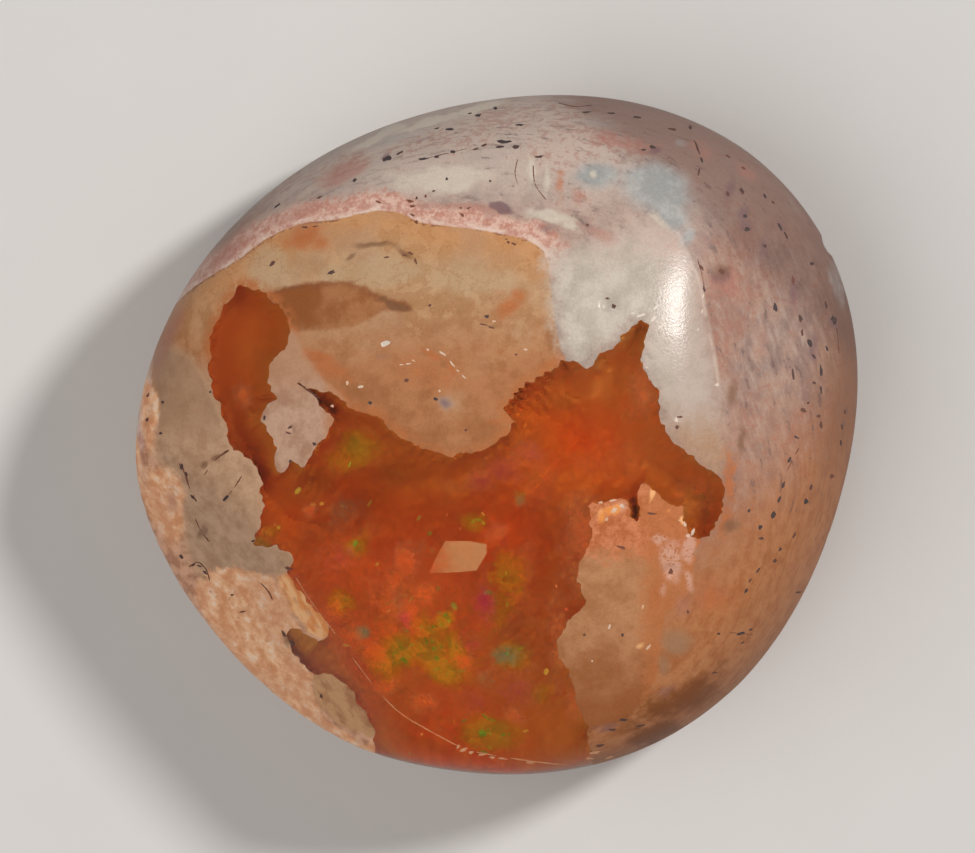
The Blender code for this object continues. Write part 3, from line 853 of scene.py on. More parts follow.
def hollow_depth(places, inside):
    """How deep the hollow is under the skin: a steep wall, then a bowl, shallower in the crescent."""
    bowl = WALL_DEPTH + (MIDDLE_DEPTH - WALL_DEPTH) * eased(inside / BOWL_REACH)
    foot, foot_width = CRESCENT_FOOT
    side, side_width = CRESCENT_SIDE
    crescent = eased((places[:, 1] - foot) / foot_width) * eased((side - places[:, 0]) / side_width)
    bowl += (CRESCENT_DEPTH - bowl) * crescent
    bowl *= 1 + unevenness(level_places(places), BOWL_WAVES)
    wall = 1 - np.exp(-np.maximum(inside, 0) / WALL_REACH)
    return np.where(inside > 0, bowl * wall, np.maximum(inside * WALL_DEPTH / WALL_REACH, -ABOVE_SKIN))


def comb_teeth(places):
    """How far the teeth along the potch's edge push that edge out or in."""
    near = eased(1.3 - np.hypot(places[:, 0] - COMB_MIDDLE[0], places[:, 1] - COMB_MIDDLE[1]) / COMB_REACH)
    uneven = unevenness(level_places(places), COMB_WAVES)
    teeth = np.abs((places @ COMB_RUN / COMB_PITCH + uneven) % 1 - 0.5)
    return COMB_DEPTH * near * (teeth * 2 - 0.5)


def hollow_floor(places, shift):
    """How far out the hollow's floor lies: under the skin, and level where it runs out over the edge."""
    flat = level_places(places)
    inside = inside_distance(places, "window") + unevenness(flat, RIM_RAGS) + comb_teeth(places)
    dome_middle = to_drawing((DOME_TOP - (0, 0, DOME_RADIUS) - shift)[None])[0]
    beside = ((places - dome_middle[:2]) ** 2).sum(axis=1)
    dome = dome_middle[2] + np.sqrt(np.maximum(0, (DOME_RADIUS / MM) ** 2 - beside))
    run_off = dome - RUN_OFF_DEPTH + unevenness(flat, RUN_OFF_WAVES)
    return np.maximum(skin_level(places, shift) - hollow_depth(places, inside), run_off)


def hollow_block(name, floor, counts):
    """A closed block in the drawing's space, whose underside is the hollow's floor."""
    index = np.arange(counts[0] * counts[1]).reshape(counts)
    ring = np.concatenate((index[:-1, 0], index[-1, :-1], index[:0:-1, -1], index[0, :0:-1]))
    lid = floor[ring].copy()
    lid[:, 2] = BLOCK_TOP
    corners = (index[:-1, :-1], index[:-1, 1:], index[1:, 1:], index[1:, :-1])
    quads = np.stack(corners, axis=-1).reshape(-1, 4)
    faces = [tuple(quad[:3]) for quad in quads] + [(quad[0], quad[2], quad[3]) for quad in quads]
    first = len(floor)
    count = len(ring)
    for place in range(count):
        after = (place + 1) % count
        faces.append((ring[place], ring[after], first + after))
        faces.append((ring[place], first + after, first + place))
    faces.append(tuple(range(first, first + count)))
    faces = [tuple(map(int, face)) for face in faces]
    mesh = bpy.data.meshes.new(name)
    mesh.from_pydata(from_drawing(np.vstack((floor, lid))).tolist(), [], faces)
    return in_scene(name, mesh)


def carved(name, skin, block, operation):
    """The stone with the hollow taken out of it, or only what fills the hollow."""
    body = in_scene(name, skin.copy())
    hollow = body.modifiers.new("Hollow", "BOOLEAN")
    hollow.operation = operation
    hollow.solver = "MANIFOLD"
    hollow.object = block
    mesh = plain_copy(body, name)
    mesh.shade_smooth()
    mesh.set_sharp_from_angle(angle=SMOOTH_BELOW)
    return mesh


def carved_pieces(skin, shift):
    """The host with its hollow, and the opal that fills the hollow and reaches a little into it."""
    columns, rows = (np.arange(low, high, GRID_PITCH) for low, high in GRID_RANGE)
    across, up = np.meshgrid(columns, rows, indexing="ij")
    grid = np.column_stack((across.ravel(), up.ravel()))
    floor = hollow_floor(grid, shift)
    pieces = []
    for name, operation, overlap in (("host", "DIFFERENCE", 0.0), ("opal", "INTERSECT", SEAT_OVERLAP)):
        block = hollow_block(name + "_hollow", np.column_stack((grid, floor - overlap)), across.shape)
        pieces.append(carved(name, skin, block, operation))
        bpy.data.objects.remove(block, do_unlink=True)
    return pieces


def line_hollow(mesh, finish):
    """Gives the faces under the skin, the hollow's walls and floor, a finish of their own."""
    mesh.materials.append(finish)
    corners = np.zeros(len(mesh.loops), np.int32)
    mesh.loops.foreach_get("vertex_index", corners)
    starts = np.zeros(len(mesh.polygons), np.int32)
    mesh.polygons.foreach_get("loop_start", starts)
    sunk = np.where(stored(mesh, "window") > LINING_REACH, stored(mesh, "sunk"), 0)
    deep = np.maximum.reduceat(sunk[corners], starts) > LINING_DEPTH
    mesh.polygons.foreach_set("material_index", deep.astype(np.int32))


def mark_host(mesh, shift):
    """Writes where the host's zones, stains and hollow lie, for its finish to read."""
    points = coordinates(mesh)
    drawn = to_drawing(points)
    places = drawn[:, :2]
    height = points[:, 2] / MM
    upper = height > UPPER_SIDE
    hem = height - HEM_HEIGHT + unevenness(points / MM, HEM_WAVES)
    for name in OUTLINES:
        inside = np.full(len(points), -NOT_NEAR)
        inside[upper] = inside_distance(places[upper], name)
        store(mesh, name, np.minimum(inside, hem))
    strayed = wandering(places[upper])
    start, width = STAINS_FROM
    for name in HOST_MARKS:
        amount = np.zeros(len(points))
        amount[upper] = marked(strayed, name)
        store(mesh, name, amount * eased((height - start) / width))
    store(mesh, "across", drawn[:, 0])
    store(mesh, "up", drawn[:, 1])
    away = np.full(len(points), NOT_NEAR)
    away[upper] = line_distance(0.6 * places[upper] + 0.4 * strayed, CRUST_LINE)
    store(mesh, "crust", away + np.maximum(0, 0.4 - hem))
    store(mesh, "sunk", sunken(points, shift))


def mark_opal(mesh, shift):
    """Writes where the opal's play of colour and its face lie."""
    points = coordinates(mesh)
    height = points[:, 2] / MM
    strayed = wandering(to_drawing(points)[:, :2])
    start, width = PLAY_FROM
    for name in OPAL_MARKS:
        store(mesh, name, marked(strayed, name) * eased((height - start) / width))
    store(mesh, "sunk", sunken(points, shift))


class Wire:
    """One socket of a finish that takes part in plain sums: each operator adds its Math node."""

    def __init__(self, finish, socket):
        self.finish = finish
        self.socket = socket

    def sum(self, operation, *values):
        return self.finish.node("ShaderNodeMath", {"operation": operation}, dict(enumerate(values)))

    def __add__(self, other):
        return self.sum("ADD", self, other)

    __radd__ = __add__

    def __sub__(self, other):
        return self.sum("SUBTRACT", self, other)

    def __rsub__(self, other):
        return self.sum("SUBTRACT", other, self)

    def __mul__(self, other):
        return self.sum("MULTIPLY", self, other)

    __rmul__ = __mul__

    def __abs__(self):
        return self.sum("ABSOLUTE", self)

    def least(self, other):
        return self.sum("MINIMUM", self, other)

    def most(self, other):
        return self.sum("MAXIMUM", self, other)

    def rises(self, low, high):
        """0 below low, 1 above high and smooth between; the other way round if high is the less."""
        ends = (low, high, 0, 1) if low < high else (high, low, 1, 0)
        inputs = {0: self, **dict(enumerate(ends, 1))}
        return self.finish.node("ShaderNodeMapRange", {"interpolation_type": "SMOOTHSTEP"}, inputs)


class Finish:
    """One finish: a material whose nodes are laid out by the makers' calls below."""

    def __init__(self, name):
        self.material = bpy.data.materials.new(name)
        self.material.use_nodes = True
        self.tree = self.material.node_tree
        self.tree.nodes.clear()
        self.output = self.tree.nodes.new("ShaderNodeOutputMaterial")
        self.spot = self.scaled(self.node("ShaderNodeTexCoord", outlet="Object"), 1 / MM)

    def put(self, socket, value):
        """Gives a socket a link, a paint by its name, or a plain value."""
        if isinstance(value, Wire):
            self.tree.links.new(value.socket, socket)
            return
        if value in PAINTS:
            value = PAINTS[value]
        if socket.type == "RGBA":
            value = (*value, 1)
        socket.default_value = value

    def node(self, kind, settings=None, inputs=None, outlet=0):
        """Adds a node: its settings first, then its sockets' values or links."""
        made = self.tree.nodes.new(kind)
        for setting, value in (settings or {}).items():
            setattr(made, setting, value)
        for socket, value in (inputs or {}).items():
            self.put(made.inputs[socket], value)
        return Wire(self, made.outputs[outlet])

    def mark(self, name):
        """What the mesh says about a place."""
        return self.node("ShaderNodeAttribute", {"attribute_name": name}, outlet="Fac")

    def scaled(self, vector, by):
        """A place drawn out, or a paint made lighter or darker, by a number."""
        return self.node("ShaderNodeVectorMath", {"operation": "SCALE"}, {0: vector, "Scale": by})

    def stretched(self, scale, turn=0):
        inputs = {0: self.spot, "Rotation": (0, 0, turn), "Scale": scale}
        return self.node("ShaderNodeMapping", {}, inputs)

    def moved(self, place, size, amount):
        """A place pushed about by cloudy noise."""
        inputs = {"Vector": place, "Scale": 1 / size, "Detail": 3}
        clouds = self.node("ShaderNodeTexNoise", {}, inputs, "Color")
        inputs = {0: clouds, 1: (0.5, 0.5, 0.5)}
        push = self.node("ShaderNodeVectorMath", {"operation": "SUBTRACT"}, inputs)
        inputs = {0: place, 1: self.scaled(push, amount)}
        return self.node("ShaderNodeVectorMath", {"operation": "ADD"}, inputs)

    def clouds(self, size, detail=4, harsh=0.55, place=None):
        """Cloudy noise with bumps about one size across, in millimetres."""
        inputs = {"Vector": place or self.spot, "Scale": 1 / size, "Detail": detail, "Roughness": harsh}
        return self.node("ShaderNodeTexNoise", {}, inputs)

    def mix(self, share, first, second):
        """Two paints mixed by a share, which is kept from 0 to 1."""
        return self.node("ShaderNodeMix", {"data_type": "RGBA"}, {0: share, 6: first, 7: second}, 2)

    def between(self, share, name):
        """Between a paint's dark and pale colours."""
        return self.mix(share, *PAINTS[name])

    def coated(self, colour, *coats):
        """A paint with others laid over it in turn, each by its share."""
        for share, coat in coats:
            colour = self.mix(share, colour, coat)
        return colour

    def bump(self, height, strength, distance):
        inputs = {"Height": height, "Strength": strength, "Distance": distance}
        return self.node("ShaderNodeBump", {}, inputs)

    def surface(self, inputs):
        shader = self.node("ShaderNodeBsdfPrincipled", {}, inputs)
        self.put(self.output.inputs["Surface"], shader)
        return self.material


def host_finish():
    """Rhyolite in level bands, the salmon crust, and the cream, white and grey-beige potch."""
    f = Finish("rhyolite_and_potch")
    height = f.node("ShaderNodeSeparateXYZ", {}, {0: f.spot}, "Z")
    across, up = f.mark("across"), f.mark("up")
    flow = f.clouds(0.8, 4, 0.62, f.moved(f.stretched((1, 1, 5)), 2.2, 1.2))
    coarse = f.clouds(2.2, 3, 0.55)
    mottle = f.clouds(0.7, 4, 0.62)
    patchy = f.clouds(0.24, 3, 0.62)
    grain = f.clouds(0.07, 2, 0.7)
    rag = patchy - 0.5
    drift = (mottle - 0.5) * 0.8 + rag * 0.6
    lumps = f.clouds(0.4, 3, 0.62, f.node("ShaderNodeCombineXYZ", {}, {0: across, 1: up, 2: height * 0.6}))
    rim = f.mark("window").rises(-0.4, -0.05) * 0.2
    mottled = mottle.rises(0.34, 0.66)
    lowness = across * 0.6 - up * 0.8 + drift

    def zone(name, edge=0.1, ragged=0.22):
        return (f.mark(name) + rim + rag * ragged).rises(-edge / 2, edge / 2)

    def stain(name, low, high, broken):
        return (f.mark(name) + drift * broken).rises(low, high)

    # Host rock: pink-grey and lavender, in thin level streaks, paler at the top, partly as painted light,
    # and warmer low down
    specks = (flow * 0.6 + patchy * 0.4).rises(0.425, 0.37) * (across + up * 0.9).rises(4.0, 7.5)
    stone = f.coated(
        f.between(mottle.rises(0.36, 0.64), "rock"),
        (coarse.rises(0.46, 0.62) * 0.5, "rock clouds"),
        ((up + drift * 2).rises(5.6, 8.0) * 0.7, "pale top"),
        (flow.rises(0.48, 0.70) * 0.4, "pale streaks"),
        (flow.rises(0.48, 0.32) * 0.4, "dark streaks"),
        ((patchy * 0.6 + coarse * 0.4).rises(0.53, 0.60) * 0.4, "red spots"),
        (lowness.rises(3.0, 8.4) * 0.8, "warm side"),
        ((across - abs(up) * 0.1 + drift * 0.6).rises(8.6, 10.4) * 0.75, "brown side"),
        ((across + up * 1.1 + drift * 2).rises(12.2, 14.2) * 0.6, "dark side"),
        ((across * 0.6 + up + drift).rises(10.2, 11.8) * 0.6, "grey side"),
        (
            lowness.rises(5.2, 8.4) * height.rises(0.6, 3.4) * 0.9,
            f.between((lumps * 0.5 + flow * 0.5).rises(0.38, 0.60), "warm foot"),
        ),
        (specks * 0.5, "side specks"),
        ((drift - across - up * 0.6).rises(6.4, 7.8), f.between(lumps.rises(0.36, 0.6), "left rock")),
    )
    # Salmon crust between the host and the potch, palest along its rim
    crusted = f.mark("crust") + rag * 0.16 + (mottle - 0.5) * 0.35
    crust = f.coated(
        f.between((patchy * 0.75 + grain * 0.25).rises(0.40, 0.60), "crust"),
        (mottle.rises(0.55, 0.66) * 0.6, "dark crust"),
        (crusted.rises(0.22, 0.08) * mottle.rises(0.42, 0.54), "crust rim"),
    )
    stone = f.mix((crusted + drift * 0.5).rises(0.78, 0.40) * 0.8, stone, crust)
    # Cream potch: orange along its top, grey in its middle, peach towards the opal
    peachy = (up + drift * 1.6).rises(4.7, 1.8) * (1 - stain("ashen", 0.1, 0.8, 0.4) * 0.6) * 0.9
    arc = f.mark("arc_zone") + rag * 0.22
    amber = f.coated(
        f.between(mottle.rises(0.38, 0.62), "amber arc"),
        ((across + drift * 0.8).rises(-4.6, -5.8), "arc's left"),
        # Painted shadow: a dark brown band just inside the arc's upper edge
        ((arc + rag * 0.3).rises(0.26, 0.0) * up.rises(3.5, 3.9) * 0.55, "arc's rim"),
    )
    faded = (up + drift * 0.8).rises(2.8, 3.4).most((across + drift * 0.6).rises(-3.7, -3.2))
    potch = f.coated(
        f.between(mottled, "potch"),
        (f.mark("crust").rises(1.3, 0.2) * 0.6, "potch top"),
        (coarse.rises(0.48, 0.62) * 0.3, "potch clouds"),
        (stain("ashen", 0.15, 0.7, 0.5) * 0.8, "ashen"),
        (peachy, f.between((coarse * 0.5 + mottle * 0.5).rises(0.38, 0.60), "peach")),
        (abs(mottle - 0.47).rises(0.03, 0.0) * coarse.rises(0.58, 0.44) * 0.3, "veins"),
        (arc.rises(-0.08, 0.08) * faded, amber),
        (f.mark("window").rises(-0.42, -0.03) * patchy.rises(0.30, 0.56) * 0.85, "potch rim"),
    )
    hairline = (crusted - 0.01).rises(0.05, 0.015) * f.mark("potch").rises(-0.02, 0.02)
    hairline = hairline * mottle.rises(0.4, 0.5) * 0.7
    stone = f.coated(stone, (zone("potch", 0.06, 0.12), potch), (hairline, "hairline"))
    # White potch, pinker towards the ridge and creamier below, with a crisp edge on the ridge and a painted
    # highlight along it
    white = f.coated(
        f.between(mottled, "white"),
        ((across + drift * 3).rises(4.2, 5.8) * 0.6, "white's right"),
        ((up + drift * 3).rises(4.6, 6.2) * 0.6, "white's top"),
        (grain.rises(0.56, 0.66) * across.rises(4.2, 5.2) * 0.3, "white's specks"),
        ((up + drift * 2).rises(1.4, -0.8) * 0.8, "white's foot"),
    )
    ridge = across.rises(4.9, 5.2) * up.rises(1.2, 1.8)
    soft_edge = (f.mark("white") + rag * 0.9).rises(-0.45, 0.55)
    crisp_edge = 1 - ridge + f.mark("white").rises(-0.05, 0.0)
    ridge_highlight = abs(f.mark("white") - 0.05).rises(0.07, 0.0) * ridge * mottle.rises(0.40, 0.52)
    stone = f.coated(stone, (soft_edge.least(crisp_edge), white), (ridge_highlight * 0.5, "ridge"))
    # The pinkish tongue that hangs into the opal
    tongue = f.coated(
        f.between(mottle.rises(0.36, 0.62), "tongue"),
        ((across + drift * 0.4).rises(-5.3, -4.9) * 0.8, "tongue's left"),
        ((up + drift).rises(0.9, 2.0) * 0.7, "tongue's top"),
    )
    # Grey-beige lobes at the left, crumbly ones at the right, and salmon rock low on the left
    left = f.coated(
        f.between((lumps * 0.5 + mottle * 0.5).rises(0.34, 0.64), "left lobes"),
        ((up + drift).rises(-0.6, 0.9) * 0.6, "left lobes' top"),
        (f.mark("left_lobes").rises(0.20, 0.04) * 0.45, "left lobes' rim"),
    )
    crumbs = f.between((lumps * 0.5 + patchy * 0.35 + grain * 0.15).rises(0.40, 0.60), "crumbs")
    right = f.coated(
        f.between(mottled, "right lobes"),
        ((up + drift * 2).rises(-5.2, -8.6) * 0.9, "right lobes' foot"),
        ((up + drift * 2).rises(-3.9, -3.2), crumbs),
        ((across + drift * 1.2).rises(4.1, 4.7) * 0.7, "right lobes' side"),
    )
    salmon = f.coated(
        f.between((lumps * 0.7 + mottle * 0.3).rises(0.38, 0.60), "salmon"),
        (lumps.rises(0.56, 0.68) * 0.6, "salmon lumps"),
        (coarse.rises(0.50, 0.62) * 0.4, "salmon clouds"),
    )
    rocky = zone("pink_rock", 0.14, 0.5).most(stain("salmon", 0.2, 0.6, 0.5))
    stone = f.coated(
        stone,
        (zone("island", 0.25, 0.4), tongue),
        (zone("left_lobes", 0.6, 0.5), left),
        (zone("right_lobes", 0.12, 0.3), right),
        (rocky, salmon),
        (zone("cream_patch", 0.1, 0.2), f.between(mottle.rises(0.35, 0.6), "cream patch")),
    )
    # Soft stains, darker patches low on the right, and gold where the light comes through the edge
    low = (up + drift).rises(-1.0, -3.0)
    slate = f.mix(low, f.between(mottle.rises(0.4, 0.6), "slate"), "low slate")
    crumbly = (patchy * 0.5 + grain * 0.5).rises(0.36, 0.50).most(up.rises(-2.6, -1.6))
    streaks = f.clouds(0.3, 2, 0.5, f.stretched((1, 0.35, 1), 0.8))
    stone = f.coated(
        stone,
        (stain("slate", 0.2, 0.8, 0.4) * 0.85, slate),
        (stain("chalk", 0.2, 0.8, 0.7) * crumbly * 0.75, f.between(low, "chalk")),
        (stain("blush", 0.25, 0.8, 0.8) * 0.6, "blush"),
        (stain("mauve", 0.25, 0.7, 0.4) * 0.8, "mauve"),
        (stain("rust", 0.15, 1.25, 1.7) * 0.9, f.between(patchy, "rust")),
        (stain("tan", 0.3, 0.9, 0.3) * 0.75, "tan"),
        # Darker patches on the lower right, from the marks that also paint shade into the hollow and the
        # opal
        (stain("shade_and_umber", 0.25, 0.9, 1.2) * across.rises(3.2, 4.2) * 0.85, "shade_and_umber"),
        (stain("gold", 0.2, 0.6, 0.2), f.between(streaks.rises(0.36, 0.64), "gold")),
    )
    stone = f.scaled(stone, 0.82 + grain * 0.36)
    # Lapped back
    back = height.rises(0.10, 0.03)
    laps = f.clouds(0.10, 2, 0.5, f.stretched((1, 0.03, 1), 0.5))
    stone = f.mix(back * 0.35, stone, f.scaled("lapped back", 0.7 + laps * 0.6))
    whiteness = f.mark("white").rises(-0.1, 0.5)
    rough = 0.24 + mottle * 0.12 + grain * 0.10 + back * 0.22 + rocky * 0.12 - whiteness * 0.12
    normal = f.bump(grain * 0.5 + patchy * 0.4 + laps * back * 0.8, 0.6, 0.014 * MM)
    looks = {"Base Color": stone, "Roughness": rough, "Normal": normal}
    return f.surface({**looks, "IOR": 1.5, "Specular IOR Level": 0.25})


def hollow_finish():
    """Walls and floor of the hollow, which show through the opal."""
    f = Finish("hollow")
    cloud = f.clouds(1.2, 3, 0.6)
    across, up = f.mark("across"), f.mark("up")
    floor = f.coated(
        f.between(cloud.rises(0.35, 0.65), "hollow"),
        # Painted shade: the floor darker under the shade and umber marks
        ((f.mark("shade_and_umber") + (cloud - 0.5) * 0.6).rises(0.2, 0.9) * 0.6, "shaded hollow"),
        ((across + up * 1.2 + (cloud - 0.5) * 2).rises(2.2, 4.6), "bright hollow"),
        ((across - up * 0.3).rises(-5.8, -6.8) * 0.75, "shallow hollow"),
    )
    normal = f.bump(cloud, 0.5, 0.05 * MM)
    return f.surface({"Base Color": floor, "Roughness": 0.5 + cloud * 0.2, "Normal": normal})


def opal_finish():
    """Clear orange opal: plain transmission and absorption, under a broken veil of coloured play."""
    f = Finish("clear_fire_opal")
    cloud = f.clouds(0.7, 3, 0.6)
    fine = f.clouds(0.16, 3, 0.7)
    cells = {"Vector": f.moved(f.spot, 0.5, 0.35), "Scale": 1 / 0.36}
    cells = f.node("ShaderNodeTexVoronoi", {"feature": "F1"}, cells, "Color")
    draw = f.node("ShaderNodeSeparateColor", {}, {0: cells}, 0)
    drift = (cloud - 0.5) * 0.6 + (fine - 0.5) * 0.6 + (draw - 0.5) * 0.12

    def play(name, low=0.08, high=1.0):
        return (f.mark(name) + drift * f.mark(name).rises(0.05, 0.3)).rises(low, high)

    green, red, plum, haze, amber = (play(name) for name in ("green", "red", "plum", "haze", "amber"))
    shade_and_umber = play("shade_and_umber", 0.15, 0.95)
    tint = f.coated(
        f.between(cloud.rises(0.3, 0.7), "opal tint"),
        # Painted shade: the tint darker under the shade and umber marks
        (shade_and_umber * 0.8, "umber tint"),
        (plum * 0.7, "plum tint"),
        (red * 0.6, "red tint"),
        (green * 0.8, "green tint"),
        (haze * 0.6, "haze tint"),
    )
    hue = draw * 0.4 + fine * 0.6 + (cloud - 0.5) * 0.4
    glow = f.mix(hue.rises(0.50, 0.62), f.between(hue.rises(0.36, 0.48), "glow"), "red glow")
    veil = f.coated(
        "veil",
        (green.rises(0.0, 0.3), f.between(hue.rises(0.35, 0.65), "lime")),
        (amber * (1 - green * 0.8), glow),
        (haze, "haze veil"),
        (plum, "plum veil"),
        (red * 0.8, "red veil"),
    )
    amount = green * 0.28 + red * 0.38 + plum * 0.20 + haze * 0.30 + amber * 0.22 + 0.02 * (1 - shade_and_umber)
    amount = amount.least(0.6) * (0.5 + draw * 0.25 + fine * 0.6)
    scratches = f.clouds(0.05, 2, 0.5, f.stretched((1, 0.05, 1), 0.7))
    skin = {
        "Roughness": 0.02 + fine.rises(0.5, 0.9) * 0.03,
        "Normal": f.bump(scratches * 0.3 + cloud * 0.5, 0.12, 0.01 * MM),
        "Specular IOR Level": 0.3,
    }
    clear = {"Base Color": tint, "IOR": 1.43, "Transmission Weight": 1.0, **skin}
    clear = f.node("ShaderNodeBsdfPrincipled", {}, clear)
    milky = f.node("ShaderNodeBsdfPrincipled", {}, {"Base Color": veil, "IOR": 1.45, **skin})
    f.put(f.output.inputs["Surface"], f.node("ShaderNodeMixShader", {}, {0: amount, 1: clear, 2: milky}))
    body = f.node("ShaderNodeVolumeAbsorption", {}, {"Color": "deep opal", "Density": 260})
    f.put(f.output.inputs["Volume"], body)
    return f.material


def inlay_finish(name, rough):
    """Mineral grains flush with the polish, between two tones."""
    f = Finish(name)
    cloud = f.clouds(0.08, 2)
    colour = f.scaled(f.between(f.mark("tone"), name.replace("_", " ")), 0.7 + cloud * 0.6)
    normal = f.bump(cloud, 0.4, 0.01 * MM)
    return f.surface({"Base Color": colour, "Roughness": rough + cloud * 0.2, "Normal": normal})


def fleck_finish():
    """Tiny platelets that flash red, gold or green."""
    f = Finish("colour_flecks")
    hue = f.mark("hue") + f.mark("green") * 0.45 - f.mark("red") * 0.5
    colour = FLECK_PAINTS[0][1]
    for (low, _), (high, paint) in zip(FLECK_PAINTS, FLECK_PAINTS[1:]):
        colour = f.mix(hue.rises(low, high), colour, paint)
    colour = f.scaled(colour, 0.8 + f.clouds(0.1) * 0.5)
    rough = 0.25 + f.clouds(0.08) * 0.3
    normal = f.bump(f.clouds(0.05), 0.3, 0.005 * MM)
    return f.surface({"Base Color": colour, "Roughness": rough, "Metallic": 0.4, "Normal": normal})


def sheen_finish():
    """An inner face whose pale peach colour paints the light that it reflects, more strongly towards its
    right.
    """
    f = Finish("inner_sheen")
    cloud = f.clouds(0.3)
    colour = f.between((f.mark("tone") + (cloud - 0.5) * 0.5).rises(0.0, 0.6), "sheen")
    normal = f.bump(cloud, 0.2, 0.01 * MM)
    return f.surface({"Base Color": colour, "Roughness": 0.45 + cloud * 0.2, "Normal": normal})


def floor_finish():
    f = Finish("pale_floor")
    paper = f.scaled("floor", 0.98 + f.clouds(3.0, 3) * 0.04)
    return f.surface({"Base Color": paper, "Roughness": 0.75})


def fleck_tree(finish):
    """Platelets strewn a little below a face, as thickly as its "play" says."""
    tree = bpy.data.node_groups.new("fleck_tree", "GeometryNodeTree")
    panel = tree.interface
    panel.new_socket("Geometry", in_out="INPUT", socket_type="NodeSocketGeometry")
    for name in FLECK_VALUES:
        kind = "NodeSocketInt" if name == "Seed" else "NodeSocketFloat"
        panel.new_socket(name, in_out="INPUT", socket_type=kind)
    panel.new_socket("Geometry", in_out="OUTPUT", socket_type="NodeSocketGeometry")

    def node(kind, settings, inputs):
        made = tree.nodes.new(kind)
        for setting, value in settings.items():
            setattr(made, setting, value)
        for socket, value in inputs.items():
            if isinstance(value, bpy.types.NodeSocket):
                tree.links.new(value, made.inputs[socket])
            else:
                made.inputs[socket].default_value = value
        return made.outputs

    given = node("NodeGroupInput", {}, {})

    def random(low, high):
        inputs = {2: low, 3: high, "Seed": given["Seed"]}
        return node("FunctionNodeRandomValue", {"data_type": "FLOAT"}, inputs)[1]

    def random_vector(low, high):
        inputs = {0: low, 1: high, "Seed": given["Seed"]}
        return node("FunctionNodeRandomValue", {"data_type": "FLOAT_VECTOR"}, inputs)[0]

    def product(first, second):
        return node("ShaderNodeMath", {"operation": "MULTIPLY"}, {0: first, 1: second})[0]

    def scaled(vector, by):
        return node("ShaderNodeVectorMath", {"operation": "SCALE"}, {0: vector, "Scale": by})["Vector"]

    play = node("GeometryNodeInputNamedAttribute", {"data_type": "FLOAT"}, {"Name": "play"})["Attribute"]
    strewn = node(
        "GeometryNodeDistributePointsOnFaces",
        {"distribute_method": "RANDOM"},
        {"Mesh": given["Geometry"], "Density": product(play, given["Density"]), "Seed": given["Seed"]},
    )
    sunk = product(random(given["Shallowest"], given["Deepest"]), -1.0)
    placed = {"Geometry": strewn["Points"], "Offset": scaled(strewn["Normal"], sunk)}
    placed = node("GeometryNodeSetPosition", {}, placed)["Geometry"]
    plate = node("GeometryNodeMeshCylinder", {"fill_type": "NGON"}, PLATE)["Mesh"]
    size = random(given["Smallest"], given["Largest"])
    scale = scaled(random_vector(*PLATE_SHAPES), size)
    laid = {"Points": placed, "Instance": plate, "Rotation": strewn["Rotation"], "Scale": scale}
    laid = node("GeometryNodeInstanceOnPoints", {}, laid)["Instances"]
    turned = {"Instances": laid, "Rotation": random_vector(*PLATE_TILTS)}
    turned = node("GeometryNodeRotateInstances", {}, turned)["Instances"]
    named = node(
        "GeometryNodeStoreNamedAttribute",
        {"data_type": "FLOAT", "domain": "INSTANCE"},
        {"Geometry": turned, "Name": "hue", "Value": random(*PLATE_HUES)},
    )["Geometry"]
    real = node("GeometryNodeRealizeInstances", {}, {"Geometry": named})["Geometry"]
    finished = node("GeometryNodeSetMaterial", {}, {"Geometry": real, "Material": finish})["Geometry"]
    node("NodeGroupOutput", {}, {"Geometry": finished})
    return tree


def strewn_flecks(sheet, tree):
    """Runs the platelets' tree on a sheet and keeps the plain mesh."""
    carrier = in_scene("fleck_sheet", sheet)
    modifier = carrier.modifiers.new("Flecks", "NODES")
    modifier.node_group = tree
    for socket in tree.interface.items_tree:
        if socket.in_out == "INPUT" and socket.name in FLECK_VALUES:
            modifier[socket.identifier] = FLECK_VALUES[socket.name]
    return plain_copy(carrier, "fleck_sheet")


def opal_face(opal):
    """The opal's polished face alone."""
    bm = bmesh.new()
    bm.from_mesh(opal)
    sunk = bm.verts.layers.float["sunk"]
    under = [vert for vert in bm.verts if vert[sunk] > FACE_DEPTH]
    bmesh.ops.delete(bm, geom=under, context="VERTS")
    sheet = bpy.data.meshes.new("opal_face")
    bm.to_mesh(sheet)
    bm.free()
    return sheet


def fleck_cover(sheet):
    """How thickly the flecks lie under the face: in the marked fields, and thinly all over."""
    places = to_drawing(coordinates(sheet))[:, :2]
    strayed = wandering(places)
    cover = np.full(len(places), THIN_COVER)
    for name in ("green", "red", "haze"):
        cover = np.maximum(cover, marked(strayed, name))
    least, width = COVER_FROM_EDGE
    off_edge = eased((inside_distance(places, "window") - least) / width)
    top, height = COVER_BELOW
    return cover**2 * off_edge * eased((top - places[:, 1]) / height)


def beads(line, half_width, tone):
    """Inlays strung along a drawn line, thinner and thicker and here and there left out."""
    points = millimetres(line)
    for _ in range(2):
        points = np.vstack((points[:1], cut_corners(points[:-1], points[1:]), points[-1:]))
    strung = []
    for start, end in zip(points[:-1], points[1:]):
        run = end - start
        turn = math.degrees(math.atan2(run[1], run[0]))
        count = max(1, round(float(np.linalg.norm(run)) / BEAD_STEP))
        for place in start + (np.arange(count)[:, None] + 0.5) / count * run:
            size = 1 + BEAD_UNEVENNESS * noise.noise((*(place / BEAD_PATCHES), half_width * 30))
            if size > LEAST_BEAD:
                strung.append((*place, BEAD_LENGTH, half_width * size, turn, tone))
    return strung


